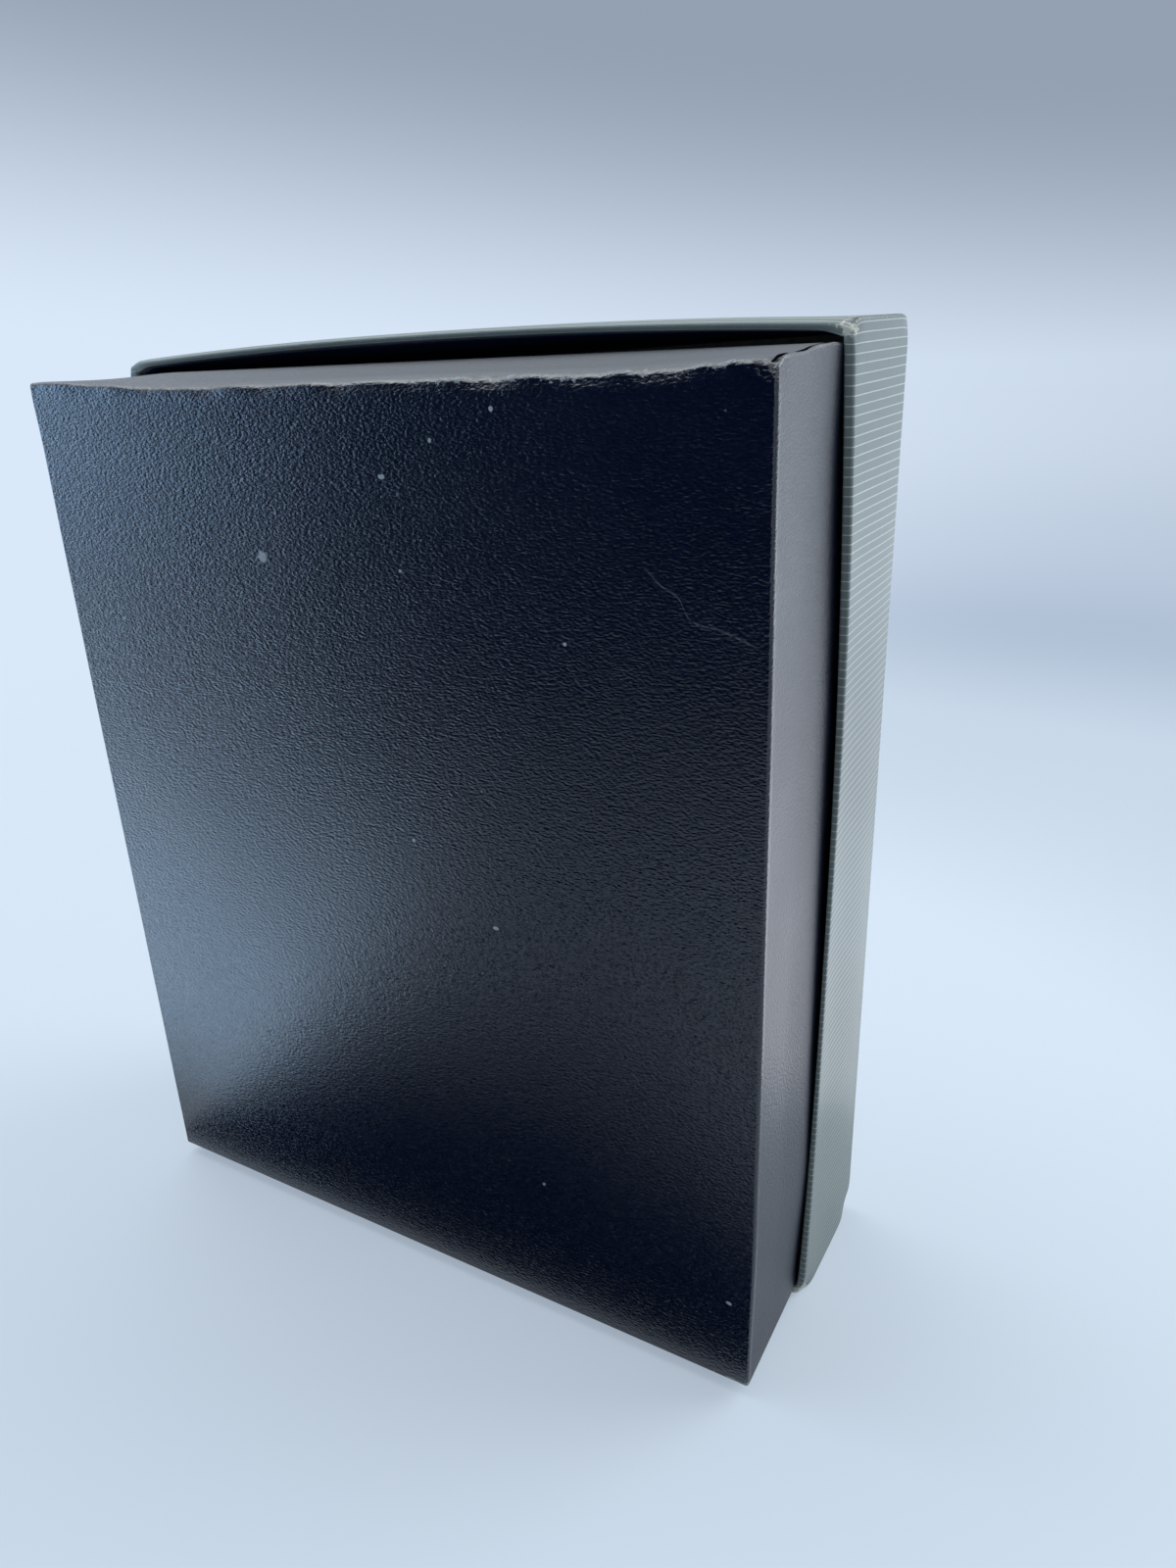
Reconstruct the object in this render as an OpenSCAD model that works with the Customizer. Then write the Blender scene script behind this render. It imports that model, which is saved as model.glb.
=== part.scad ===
// Two-piece covered-board watch box, closed and standing on a long side wall of its lid.
// X is the width, Y runs from the base's bottom panel to the lid's top panel, and Z is up.

/* [Base] */
// Width of the covered base, along X
base_w = 115; // [105:1:140]
// Length of the covered base, along Z
base_l = 137.5; // [130:0.5:170]
// Depth of base that shows in front of the closed lid
base_show = 20; // [15:0.5:30]

/* [Lid] */
// Outside depth of the lid
lid_d = 24; // [20:0.5:34]
// Clearance between the base's wall and the lid's wall, on each side
fit_gap = 0.5; // [0.3:0.05:1]
// Clearance left under the base where it hangs in the loose lid
under_gap = 0.15; // [0.1:0.05:0.3]
// How far the rim of a lid wall bows outwards at its middle
rim_bow = 1.8; // [0:0.1:3]
// Gap between the base's rim and the lid's inner face
rim_gap = 0.3; // [0.2:0.1:1]

/* [Board and paper] */
// Thickness of the greyboard
board_t = 1.2; // [1:0.1:2]
// Thickness of the cover and lining papers
paper_t = 0.3; // [0.2:0.05:0.4]
// Thickness of the glue layer that the corner tape fills
glue_t = 0.1; // [0.08:0.01:0.2]
// How far the cover paper turns in over the rim
turn_in = 13; // [8:0.5:16]
// Length of each leg of a corner tape
tape_leg = 9; // [6:0.5:12]
// Radius of the covered edges
edge_r = 0.9; // [0.7:0.05:1.2]

/* [Platform] */
// Height of the platform's card above the base's floor
platform_h = 20; // [16:0.5:24]
// Thickness of the platform's card
card_t = 1; // [0.8:0.1:1.5]
// Thickness of the velvet
velvet_t = 0.5; // [0.4:0.05:0.8]
// Clearance between the insert and the base's wall
insert_gap = 0.5; // [0.3:0.05:0.8]
// How far the velvet runs down the platform's legs
skirt_d = 9; // [5:0.5:14]

/* [Well] */
// Inside width of the lined well
well_w = 82; // [70:1:86]
// Inside length of the lined well
well_l = 60; // [50:1:62]
// Thickness of the well's card
well_card_t = 0.8; // [0.6:0.1:1]

/* [Foam blocks] */
// Length of a foam block, from the platform's leg towards the well
block_l = 16; // [8:0.5:18]
// Gap between a foam block and the base's floor
block_gap = 0.3; // [0.2:0.1:0.8]

/* [Pillow] */
// Clearance between the pillow and the well, on each side
pillow_gap = 0.9; // [0.5:0.1:2]
// How far the pillow stands above the platform
pillow_rise = 3; // [0:0.5:6]
// Radius of the pillow's soft edges
pillow_r = 9; // [6:0.5:10]
// Thickness of the pillow's velvet cover
pillow_cover_t = 0.8; // [0.5:0.1:1.2]

/* [Lid pad] */
// Gap between the lid pad and the base's inner wall
pad_gap = 3; // [2:0.5:8]
// Thickness of the pad's card
pad_card_t = 1; // [0.8:0.1:1.5]
// Thickness of the pad's foam
pad_foam_t = 4; // [3:0.5:6]
// Thickness of the pad's satin
satin_t = 0.4; // [0.3:0.05:0.6]
// How far the satin turns in behind the pad's card
pad_turn = 10; // [6:1:20]

/* [Ribbon] */
// Width of the lifting ribbon
ribbon_w = 10; // [6:1:16]
// Thickness of the ribbon
ribbon_t = 0.4; // [0.3:0.05:0.6]
// Distance from the foam block to the slit that the ribbon comes through
slit_back = 2; // [1:0.5:4]
// Distance from the end of the ribbon's tab to the platform's edge
tab_margin = 1.5; // [0.5:0.5:6]

/* [Hidden] */

// A covered wall is paper, glue, board, glue and paper. A covered panel has no paper inside.
skin_t = paper_t + glue_t;
panel_t = skin_t + board_t;
wall_t = panel_t + skin_t;
round_r = min(edge_r, 0.45 * wall_t);
sharp_r = 0.15;
edge_steps = 2;
bow_steps = 8;
slit = 0.02;
rest_gap = 0.2;

// The closed box is centred on X and Y, and the lid's lower wall stands on Z = 0.
total_d = base_show + lid_d;
front_y = -total_d / 2;
back_y = total_d / 2;
lid_w = base_w + 2 * (fit_gap + wall_t);
lid_l = base_l + 2 * (fit_gap + wall_t);
lid_mid = lid_l / 2;
base_mid = lid_mid - (fit_gap - under_gap);
base_d = total_d - panel_t - rim_gap;
floor_y = front_y + panel_t + skin_t;

// The insert, from its legs up to the velvet
insert_w = base_w - 2 * (wall_t + insert_gap);
insert_l = base_l - 2 * (wall_t + insert_gap);
card_w = insert_w - 2 * velvet_t;
card_l = insert_l - 2 * velvet_t;
bay_w = card_w - 2 * card_t;
bay_l = card_l - 2 * card_t;
leg_y = floor_y + rest_gap;
platform_y = floor_y + platform_h;
velvet_y = platform_y + velvet_t;

// The well hangs in the platform's window, flush with the card.
shell_w = well_w + 2 * velvet_t;
shell_l = well_l + 2 * velvet_t;
window_w = shell_w + 2 * well_card_t;
window_l = shell_l + 2 * well_card_t;
well_floor_y = leg_y + well_card_t + velvet_t;

// The ribbon is glued under the card, and comes up through a slit beside the upper foam block.
under_card_y = platform_y - card_t;
block_z = bay_l / 2 - block_l;
slit_z = block_z - slit_back;
tab_z = insert_l / 2 - tab_margin;
tail_z = window_l / 2 + slit_back;

// The pillow and the lid pad
pillow_w = well_w - 2 * pillow_gap;
pillow_l = well_l - 2 * pillow_gap;
pillow_y = well_floor_y + rest_gap;
pillow_top_y = velvet_y + pillow_rise;
soft_r = min(pillow_r, 0.45 * (pillow_top_y - pillow_y));
pad_w = base_w - 2 * (wall_t + pad_gap);
pad_l = base_l - 2 * (wall_t + pad_gap);
pad_back_y = back_y - panel_t;
pad_card_y = pad_back_y - satin_t - pad_card_t;
pad_foam_y = pad_card_y - pad_foam_t;
pad_front_y = pad_foam_y - satin_t;

// The outline of a tray at an inset of u from its outside, as [x, z] points round four corners.
// Every side but the lower one bows outwards, by bow at its middle.
function corner(k) = [[1, 1], [-1, 1], [-1, -1], [1, -1]][k % 4];
function outward(k) = [[0, 1], [-1, 0], [0, 0], [1, 0]][k];
function radius(u) = max(round_r - u, sharp_r);
function corner_arc(size, u, k) =
    let (r = radius(u), inset = u + r, c = corner(k))
        quarter([c.x * (size.x / 2 - inset), c.y * (size.y / 2 - inset)], r, 90 * k, 90 * k + 90);
function side(size, u, k, bow, steps) =
    let (
        from = corner_arc(size, u, k)[edge_steps],
        to = corner_arc(size, u, k + 1)[0],
        tape = tape_leg / norm(to - from),
        shares = steps > 1 ? [for (i = [0 : steps]) tape + (1 - 2 * tape) * i / steps] : []
    )
        [for (t = shares) from + (to - from) * t + outward(k) * bow * 4 * t * (1 - t)];
function outline(size, u, bow, steps) =
    [for (k = [0 : 3]) each concat(corner_arc(size, u, k), side(size, u, k, bow, steps))];

// The section of a tray's covering at a depth of d under its surface, as [u, v] points:
// u is the inset from the outside of the wall, and v is the depth from the outside of the panel.
function quarter(mid, r, from, to) = [
    for (i = [0 : edge_steps])
        let (a = from + (to - from) * i / edge_steps)
            mid + r * [cos(a), sin(a)]
];
function flip(points) = [for (i = [len(points) - 1 : -1 : 0]) points[i]];
function covering(d, depth) =
    let (r = radius(d), near = d + r, far = wall_t - d - r, rim = depth - d - r)
        concat(
            quarter([near, near], r, 270, 180),
            quarter([near, rim], r, 180, 90),
            quarter([far, rim], r, 90, 0)
        );

// The sections of the pieces that base and lid share
function board_section(depth) = concat(covering(skin_t, depth), [[panel_t, depth - turn_in], [panel_t, panel_t]]);
function wrap_section(depth) = concat(
    covering(0, depth),
    [[wall_t, depth - turn_in], [wall_t - paper_t, depth - turn_in]],
    flip(covering(paper_t, depth))
);
function lining_section(depth) = [
    [wall_t - paper_t, panel_t + slit],
    [wall_t - paper_t, depth - turn_in - slit],
    [wall_t, depth - turn_in - slit],
    [wall_t, panel_t + slit]
];
function tape_section(depth) = [
    [paper_t + slit, round_r],
    [paper_t + slit, depth - round_r],
    [skin_t - slit, depth - round_r],
    [skin_t - slit, round_r]
];

// The two trays: outside size, middle height, outer face of the panel, way to the rim, depth and bow.
// A wall that bows is made in short steps.
base_tray = [[base_w, base_l], base_mid, front_y, 1, base_d, 0, 1];
lid_tray = [[lid_w, lid_l], lid_mid, back_y, -1, lid_d, rim_bow, bow_steps];

// The outline of a tray at one point of a section. The bow grows evenly from the panel to the rim.
function ring(tray, p) =
    let (line = outline(tray[0], p.x, tray[5] * p.y / tray[4], tray[6]))
        [for (q = line) [q.x, tray[2] + tray[3] * p.y, tray[1] + q.y]];
function between(from, to, share) = from + (to - from) * share;
function tape_line(line, first, shares) =
    let (n = len(line), last = first + edge_steps)
        concat(
            [between(line[first], line[(first + n - 1) % n], shares[0])],
            [for (i = [first : last]) line[i]],
            [between(line[last], line[(last + 1) % n], shares[1])]
        );

function middle(line, i = 0) = i == len(line) ? [0, 0, 0] : line[i] / len(line) + middle(line, i + 1);

// A solid through a stack of outlines that all have the same number of points.
// A closed stack comes back to its first outline, and an open one has a flat face at each end.
// Each side is split along its shorter diagonal, so the layers of a bowed wall lie flat on each other.
module loft(stack, open) {
    n = len(stack[0]);
    m = len(stack);
    sides = [
        for (j = [0 : open ? m - 2 : m - 1], i = [0 : n - 1])
            let (to = (j + 1) % m, next = (i + 1) % n, a = j * n, b = to * n)
                each norm(stack[j][next] - stack[to][i]) < norm(stack[j][i] - stack[to][next])
                    ? [[a + i, a + next, b + i], [a + next, b + next, b + i]]
                    : [[a + i, a + next, b + next], [a + i, b + next, b + i]]
    ];
    ends = open ? [
        for (i = [0 : n - 1])
            let (next = (i + 1) % n, last = (m - 1) * n)
                each [[m * n, next, i], [m * n + 1, last + i, last + next]]
    ] : [];
    middles = open ? [middle(stack[0]), middle(stack[m - 1])] : [];
    points = concat([for (line = stack) each line], middles);
    polyhedron(points = points, faces = concat(sides, ends), convexity = 6);
}

// A section carried all the way round a tray
module carry_round(tray, section, open) {
    loft([for (p = section) tray[3] > 0 ? ring(tray, p) : flip(ring(tray, p))], open);
}

// Four tapes, one round each corner of a tray, in the glue layer
module corner_tapes(tray) {
    size = tray[0];
    stops = tray[6] > 1 ? tray[6] + 1 : 0;
    for (k = [0 : 3]) {
        x = stops > 0 ? 1 : tape_leg / size.x;
        z = stops > 0 ? 1 : tape_leg / size.y;
        shares = k % 2 == 0 ? [z, x] : [x, z];
        lines = [
            for (p = tape_section(tray[4]))
                tape_line(ring(tray, p), k * (edge_steps + 1 + stops), shares)
        ];
        sections = [for (i = [0 : edge_steps + 2]) [for (line = lines) line[i]]];
        loft(tray[3] > 0 ? [for (section = sections) flip(section)] : sections, true);
    }
}

// A block from y0 to y1, w wide and l long, with its middle at height mid
module slab(w, l, y0, y1, mid) {
    translate([-w / 2, y0, mid - l / 2]) cube([w, y1 - y0, l]);
}

// The pillow's rounded form, at a depth of d under its surface
module pillow_form(d) {
    x = pillow_w / 2 - soft_r;
    z = pillow_l / 2 - soft_r;
    hull()
        for (p = [[x, z], [-x, z], [-x, -z], [x, -z]], y = [pillow_y + soft_r, pillow_top_y - soft_r])
            translate([p.x, y, base_mid + p.y]) sphere(soft_r - d, $fn = 24);
}

module base_board() {
    color("tan") carry_round(base_tray, board_section(base_d), true);
}

module base_corner_tapes() {
    color("wheat") corner_tapes(base_tray);
}

module base_wrap() {
    color([0.07, 0.07, 0.08]) carry_round(base_tray, wrap_section(base_d), true);
}

module base_wall_lining() {
    color([0.1, 0.1, 0.12]) carry_round(base_tray, lining_section(base_d), false);
}

module base_floor_lining() {
    color([0.1, 0.1, 0.12])
        slab(base_w - 2 * (wall_t + slit), base_l - 2 * (wall_t + slit), floor_y - paper_t, floor_y, base_mid);
}

module lid_board() {
    color("tan") carry_round(lid_tray, board_section(lid_d), true);
}

module lid_corner_tapes() {
    color("wheat") corner_tapes(lid_tray);
}

module lid_wrap() {
    color([0.55, 0.58, 0.52]) carry_round(lid_tray, wrap_section(lid_d), true);
}

module lid_wall_lining() {
    color([0.1, 0.1, 0.14]) carry_round(lid_tray, lining_section(lid_d), false);
}

module lid_pad_card() {
    color("white") slab(pad_w - 2 * satin_t, pad_l - 2 * satin_t, pad_card_y, pad_card_y + pad_card_t, lid_mid);
}

module lid_pad_foam() {
    color("whitesmoke") slab(pad_w - 2 * satin_t, pad_l - 2 * satin_t, pad_foam_y, pad_card_y, lid_mid);
}

module lid_pad_cover() {
    color("ivory") difference() {
        slab(pad_w, pad_l, pad_front_y, pad_back_y, lid_mid);
        slab(pad_w - 2 * satin_t, pad_l - 2 * satin_t, pad_foam_y, pad_card_y + pad_card_t, lid_mid);
        slab(pad_w - 2 * pad_turn, pad_l - 2 * pad_turn, pad_foam_y, pad_back_y + 1, lid_mid);
    }
}

module ribbon_slit() {
    gap = rest_gap / 2;
    translate([-ribbon_w / 2 - gap, under_card_y - 1, base_mid + slit_z - gap])
        cube([ribbon_w + 2 * gap, velvet_y - under_card_y + 2, ribbon_t + 2 * gap]);
}

module platform_card() {
    color("white") difference() {
        slab(card_w, card_l, leg_y, platform_y, base_mid);
        slab(bay_w, bay_l, leg_y - 1, under_card_y, base_mid);
        slab(window_w, window_l, leg_y, velvet_y, base_mid);
        ribbon_slit();
    }
}

module platform_velvet() {
    color("ivory") difference() {
        slab(insert_w, insert_l, platform_y - skirt_d, velvet_y, base_mid);
        slab(card_w, card_l, leg_y, platform_y, base_mid);
        slab(well_w, well_l, leg_y, velvet_y + 1, base_mid);
        ribbon_slit();
    }
}

module well_card() {
    color("white") difference() {
        slab(window_w, window_l, leg_y, platform_y, base_mid);
        slab(shell_w, shell_l, leg_y + well_card_t, velvet_y, base_mid);
    }
}

module well_lining() {
    color("ivory") difference() {
        slab(shell_w, shell_l, leg_y + well_card_t, platform_y, base_mid);
        slab(well_w, well_l, well_floor_y, velvet_y, base_mid);
    }
}

module foam_block(z) {
    color("gainsboro") slab(bay_w, block_l, leg_y + block_gap, under_card_y, base_mid + z);
}

module upper_foam_block() {
    foam_block(block_z + block_l / 2);
}

module lower_foam_block() {
    foam_block(-block_z - block_l / 2);
}

module lift_ribbon() {
    color("ivory") translate([-ribbon_w / 2, 0, base_mid]) {
        translate([0, under_card_y - ribbon_t, tail_z]) cube([ribbon_w, ribbon_t, slit_z + ribbon_t - tail_z]);
        translate([0, under_card_y - ribbon_t, slit_z]) cube([ribbon_w, velvet_y - under_card_y + 2 * ribbon_t, ribbon_t]);
        translate([0, velvet_y, slit_z]) cube([ribbon_w, ribbon_t, tab_z - slit_z]);
    }
}

module pillow_foam() {
    color("whitesmoke") pillow_form(pillow_cover_t);
}

module pillow_cover() {
    color("ivory") difference() {
        pillow_form(0);
        pillow_form(pillow_cover_t);
    }
}

base_board();
base_corner_tapes();
base_wrap();
base_wall_lining();
base_floor_lining();
lid_board();
lid_corner_tapes();
lid_wrap();
lid_wall_lining();
lid_pad_card();
lid_pad_foam();
lid_pad_cover();
platform_card();
platform_velvet();
well_card();
well_lining();
upper_foam_block();
lower_foam_block();
lift_ribbon();
pillow_foam();
pillow_cover();
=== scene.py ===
import math

import bmesh
import bpy
import numpy as np
from mathutils import Matrix, Vector, noise
from mathutils.bvhtree import BVHTree


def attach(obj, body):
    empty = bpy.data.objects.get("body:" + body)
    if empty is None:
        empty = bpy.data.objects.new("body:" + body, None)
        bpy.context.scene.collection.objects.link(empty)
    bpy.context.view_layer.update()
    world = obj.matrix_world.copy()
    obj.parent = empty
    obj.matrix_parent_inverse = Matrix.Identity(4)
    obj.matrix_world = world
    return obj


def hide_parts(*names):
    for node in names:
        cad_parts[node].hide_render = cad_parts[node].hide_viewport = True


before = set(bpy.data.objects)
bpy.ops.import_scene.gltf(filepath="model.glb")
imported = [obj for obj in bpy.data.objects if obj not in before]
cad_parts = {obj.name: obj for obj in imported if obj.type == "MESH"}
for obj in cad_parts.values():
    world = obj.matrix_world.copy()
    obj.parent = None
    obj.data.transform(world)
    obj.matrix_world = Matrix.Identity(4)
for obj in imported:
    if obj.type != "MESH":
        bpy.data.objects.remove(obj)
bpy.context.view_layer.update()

mm = 0.001
scene = bpy.context.scene
scene.view_settings.view_transform = "Standard"

# Camera, floor and light


def lying(*places):  # corners of a sheet that lies just above the floor
    return [(x, y, 0.002) for x, y in places]


def upright(left, right, y, height):
    return [(left, y, 0.0), (right, y, 0.0), (right, y, height), (left, y, height)]


cameraLook = {
    "place": (95.41, -127.0, 138.08),  # millimetres
    "ahead": (-0.46606, 0.80787, -0.36075),
    "right": (0.87214, 0.4881, -0.03366),
    "lens": 24.383,
}
studio = {
    "floorSize": 12.0,
    "floorColour": (0.60, 0.635, 0.67),
    "backColour": (0.70, 0.81, 0.955),
    "highColour": (0.295, 0.355, 0.445),  # the backdrop higher up, and far off on the floor to the right: painted darker
    "overheadColour": (1.1, 1.2, 1.3),
    "shadeColour": (0.41, 0.50, 0.635),  # the floor behind, on the right
    "shadeWay": (0.13, 0.073, 1.0),  # the way in which the backdrop darkens
    "rightWay": (0.872, 0.488, 0.0),  # the camera's right, level with the floor
    "roomColour": (0.74, 0.87, 1.0),
    "roomLevels": (0.17, 0.70, 0.35, 0.30),  # front, back, left, overhead
    "floorSeen": 0.45,  # share of the plain background colour that the camera sees on the floor
    "lamps": [
        # name, place in metres, size, watts, colour
        ("window", (0.80, 0.75, 0.80), 0.9, 10.0, (0.90, 0.96, 1.0)),
        ("ceiling", (-0.45, 0.05, 1.15), 1.0, 7.0, (0.92, 0.97, 1.0)),
        ("left glow", (-0.98, -0.36, 0.16), 0.70, 3.9, (0.34, 0.62, 1.0)),
    ],
    # glowing cards behind and on the left, which only reflections see: painted bright reflections; glow
    # strength, colour, corners in metres
    "cards": [
        (1.25, (0.90, 0.90, 1.0), lying((0.066, 0.045), (0.50, 0.045), (0.50, 0.10), (0.070, 0.10))),
        (1.6, (0.84, 0.89, 1.0), lying((0.070, 0.10), (0.50, 0.10), (0.50, 0.18), (0.074, 0.18))),
        (0.95, (0.86, 0.86, 1.0), lying((0.074, 0.18), (0.50, 0.18), (0.62, 0.45), (0.082, 0.45))),
        (1.5, (0.78, 0.88, 1.0), lying((0.082, 0.45), (0.62, 0.45), (1.5, 1.6), (0.10, 1.6))),
        (1.3, (0.78, 0.88, 1.0), upright(0.10, 1.5, 1.6, 0.5)),
        (2.2, (0.42, 0.68, 1.0),
         lying((-0.42, -0.040), (-0.42, -0.20), (-0.15, -0.125), (-0.066, -0.088), (-0.062, -0.040))),
    ],
    # dark sheets in front, also for reflections only: painted dark reflections, which cast no shade
    "flagColour": (0.004, 0.011, 0.038),
    "flags": [
        lying((-0.062, -0.024), (0.062, -0.024), (0.066, -0.050), (0.036, -0.072),
              (0.005, -0.090), (-0.020, -0.090), (-0.045, -0.074), (-0.056, -0.048)),
        lying((0.12, -0.20), (0.30, -0.95), (-1.30, -0.95), (-0.42, -0.34),
              (-0.26, -0.235), (-0.17, -0.185), (-0.10, -0.170), (-0.04, -0.180)),
        upright(-1.30, 0.30, -0.95, 1.3),
    ],
}


def link(name, data):
    piece = bpy.data.objects.new(name, data)
    scene.collection.objects.link(piece)
    return piece


def addCamera(look):
    data = bpy.data.cameras.new("camera")
    data.lens = look["lens"]
    data.sensor_width = 36.0
    data.clip_start = 0.01
    ahead = Vector(look["ahead"]).normalized()
    right = Vector(look["right"])
    right = (right - ahead * right.dot(ahead)).normalized()
    turn = Matrix((right, right.cross(ahead), -ahead)).transposed().to_4x4()
    scene.camera = link("camera", data)
    scene.camera.matrix_world = Matrix.Translation(Vector(look["place"]) * mm) @ turn


def addLamp(name, place, size, watts, colour):
    data = bpy.data.lights.new(name, "AREA")
    data.shape = "DISK"
    data.size = size
    data.energy = watts
    data.color = colour
    lamp = link(name, data)
    lamp.visible_camera = False
    aim = Vector((0, 0, 0.06)) - Vector(place)
    lamp.matrix_world = Matrix.Translation(place) @ aim.to_track_quat("-Z", "Y").to_matrix().to_4x4()


# Small helpers for node trees


def fill(tree, made, sockets):  # sets a node's inputs, or links them
    for name, value in sockets.items():
        if isinstance(value, bpy.types.NodeSocket):
            tree.links.new(value, made.inputs[name])
        else:
            made.inputs[name].default_value = value
    return made


def add(tree, kind, sockets=None, **settings):
    made = tree.nodes.new(kind)
    for name, value in settings.items():
        setattr(made, name, value)
    return fill(tree, made, sockets or {})


def maths(tree, operation, *values, clamp=False):
    made = add(tree, "ShaderNodeMath", dict(enumerate(values)), operation=operation, use_clamp=clamp)
    return made.outputs[0]


def rgb(*levels):  # a colour as it looks on screen, made linear
    return (*[(c / 255 / 12.92 if c <= 10 else ((c / 255 + 0.055) / 1.055) ** 2.4) for c in levels], 1.0)


def spaced(values):  # socket names as they are in the node
    return {name.replace("_", " "): value for name, value in values.items()}


def startMaterial(name, **constants):
    material = bpy.data.materials.new(name)
    material.use_nodes = True
    tree = material.node_tree
    return material, tree, fill(tree, tree.nodes["Principled BSDF"], spaced(constants))


def startGroup(name, takes, *gives):  # takes a place and named numbers, gives numbers
    group = bpy.data.node_groups.new(name, "ShaderNodeTree")
    group.interface.new_socket("Place", in_out="INPUT", socket_type="NodeSocketVector")
    for label, value in takes.items():
        group.interface.new_socket(label, in_out="INPUT", socket_type="NodeSocketFloat").default_value = value
    for label in gives:
        group.interface.new_socket(label, in_out="OUTPUT", socket_type="NodeSocketFloat")
    return group, group.nodes.new("NodeGroupInput").outputs, group.nodes.new("NodeGroupOutput").inputs


# Effects that several materials share

print("making the materials")


class nodeCalls:  # short calls that add nodes to one tree
    def __init__(self, tree):
        self.tree = tree

    def add(self, kind, sockets=None, **settings):
        return add(self.tree, kind, sockets, **settings)

    def times(self, *values, clamp=False):
        return maths(self.tree, "MULTIPLY", *values, clamp=clamp)

    def plus(self, *values):
        return maths(self.tree, "ADD", *values)

    def minus(self, *values):
        return maths(self.tree, "SUBTRACT", *values)

    def over(self, *values):
        return maths(self.tree, "DIVIDE", *values)

    def blend(self, value, share, base, clamp=False):  # value * share + base
        return maths(self.tree, "MULTIPLY_ADD", value, share, base, clamp=clamp)

    def largest(self, *values):
        return maths(self.tree, "MAXIMUM", *values)

    def size(self, value):
        return maths(self.tree, "ABSOLUTE", value)

    def sine(self, value):
        return maths(self.tree, "SINE", value)

    def ramp(self, value, low, high, toLow=0.0, toHigh=1.0, kind="SMOOTHSTEP"):
        sockets = {"Value": value, "From Min": low, "From Max": high, "To Min": toLow, "To Max": toHigh}
        return self.add("ShaderNodeMapRange", sockets, interpolation_type=kind).outputs["Result"]

    def mix(self, share, first, second):
        return self.add("ShaderNodeMix", {0: share, 6: first, 7: second}, data_type="RGBA").outputs[2]

    def stretch(self, vector, scale, turn=(0, 0, 0)):
        sockets = {"Vector": vector, "Scale": scale, "Rotation": turn}
        return self.add("ShaderNodeMapping", sockets).outputs["Vector"]

    def noise(self, vector, scale, detail, roughness=0.5):
        sockets = {"Vector": vector, "Scale": scale, "Detail": detail, "Roughness": roughness}
        return self.add("ShaderNodeTexNoise", sockets).outputs["Fac"]

    def cells(self, vector, scale, **more):
        return self.add("ShaderNodeTexVoronoi", {"Vector": vector, "Scale": scale, **more}).outputs

    def apart(self, vector):
        return self.add("ShaderNodeSeparateXYZ", {"Vector": vector}).outputs

    def place(self):
        return self.add("ShaderNodeTexCoord").outputs["Object"]

    def painted(self, name):
        return self.add("ShaderNodeAttribute", attribute_name=name).outputs["Fac"]

    def use(self, group, **sockets):
        return self.add("ShaderNodeGroup", spaced(sockets), node_tree=group).outputs


def startLook(name, roughness, **constants):
    material, tree, shader = startMaterial(name, Roughness=roughness, **constants)
    n = nodeCalls(tree)

    def finish(colour, height, strength, distance, rough=None):
        sockets = {"Height": height, "Strength": strength, "Distance": distance}
        fill(tree, shader, {"Base Color": colour, "Normal": n.add("ShaderNodeBump", sockets).outputs["Normal"]})
        if rough is not None:
            tree.links.new(rough, shader.inputs["Roughness"])
        return material

    return n, finish


def paperGrainGroup():  # fibres and fine tooth of paper or board
    scales = {"Fibre Scale": 900.0, "Tooth Scale": 3000.0}
    group, takes, gives = startGroup("paper grain", scales, "Height", "Shade")
    n = nodeCalls(group)
    fibres = n.noise(n.stretch(takes["Place"], (1.0, 1.0, 0.22)), takes["Fibre Scale"], 4.0, 0.6)
    tooth = n.noise(takes["Place"], takes["Tooth Scale"], 3.0)
    cloud = n.noise(takes["Place"], 38.0, 3.0)
    height = n.blend(fibres, 0.6, n.times(tooth, 0.4))
    group.links.new(height, gives["Height"])
    group.links.new(n.blend(cloud, 0.45, n.times(height, 0.55)), gives["Shade"])
    return group


def rubbedGroup():  # worn patches, broken up by noise where the painted wear is high
    group, takes, gives = startGroup("rubbed", {"Wear": 0.0, "Scale": 700.0, "Softness": 0.12}, "Mask")
    n = nodeCalls(group)
    broken = n.noise(takes["Place"], takes["Scale"], 5.0, 0.65)
    level = n.minus(0.82, n.times(takes["Wear"], 0.62))
    group.links.new(n.ramp(broken, level, n.plus(level, takes["Softness"])), gives["Mask"])
    return group


def dustGroup():  # sparse pale specks
    group, takes, gives = startGroup("dust", {"Scale": 260.0, "Size": 0.07}, "Mask")
    n = nodeCalls(group)
    cells = n.cells(takes["Place"], takes["Scale"], Randomness=1.0)
    chance = n.add("ShaderNodeSeparateColor", {"Color": cells["Color"]}).outputs["Red"]
    size = n.times(takes["Size"], n.largest(n.blend(chance, 4.0, -3.0), 0.0))
    group.links.new(maths(group, "LESS_THAN", cells["Distance"], size), gives["Mask"])
    return group


def weaveGroup():  # crossing threads as sine ridges
    group, takes, gives = startGroup("weave", {"Warp": 9000.0, "Weft": 9000.0}, "Height", "Over")
    n = nodeCalls(group)
    apart = n.apart(takes["Place"])
    across = n.sine(n.times(apart["X"], takes["Warp"]))
    along = n.sine(n.times(apart["Y"], takes["Weft"]))
    group.links.new(n.largest(n.size(across), n.size(along)), gives["Height"])
    group.links.new(n.blend(n.times(across, along), 0.5, 0.5), gives["Over"])
    return group


paperGrain, rubbed, dust, weave = paperGrainGroup(), rubbedGroup(), dustGroup(), weaveGroup()


# Materials

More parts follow.
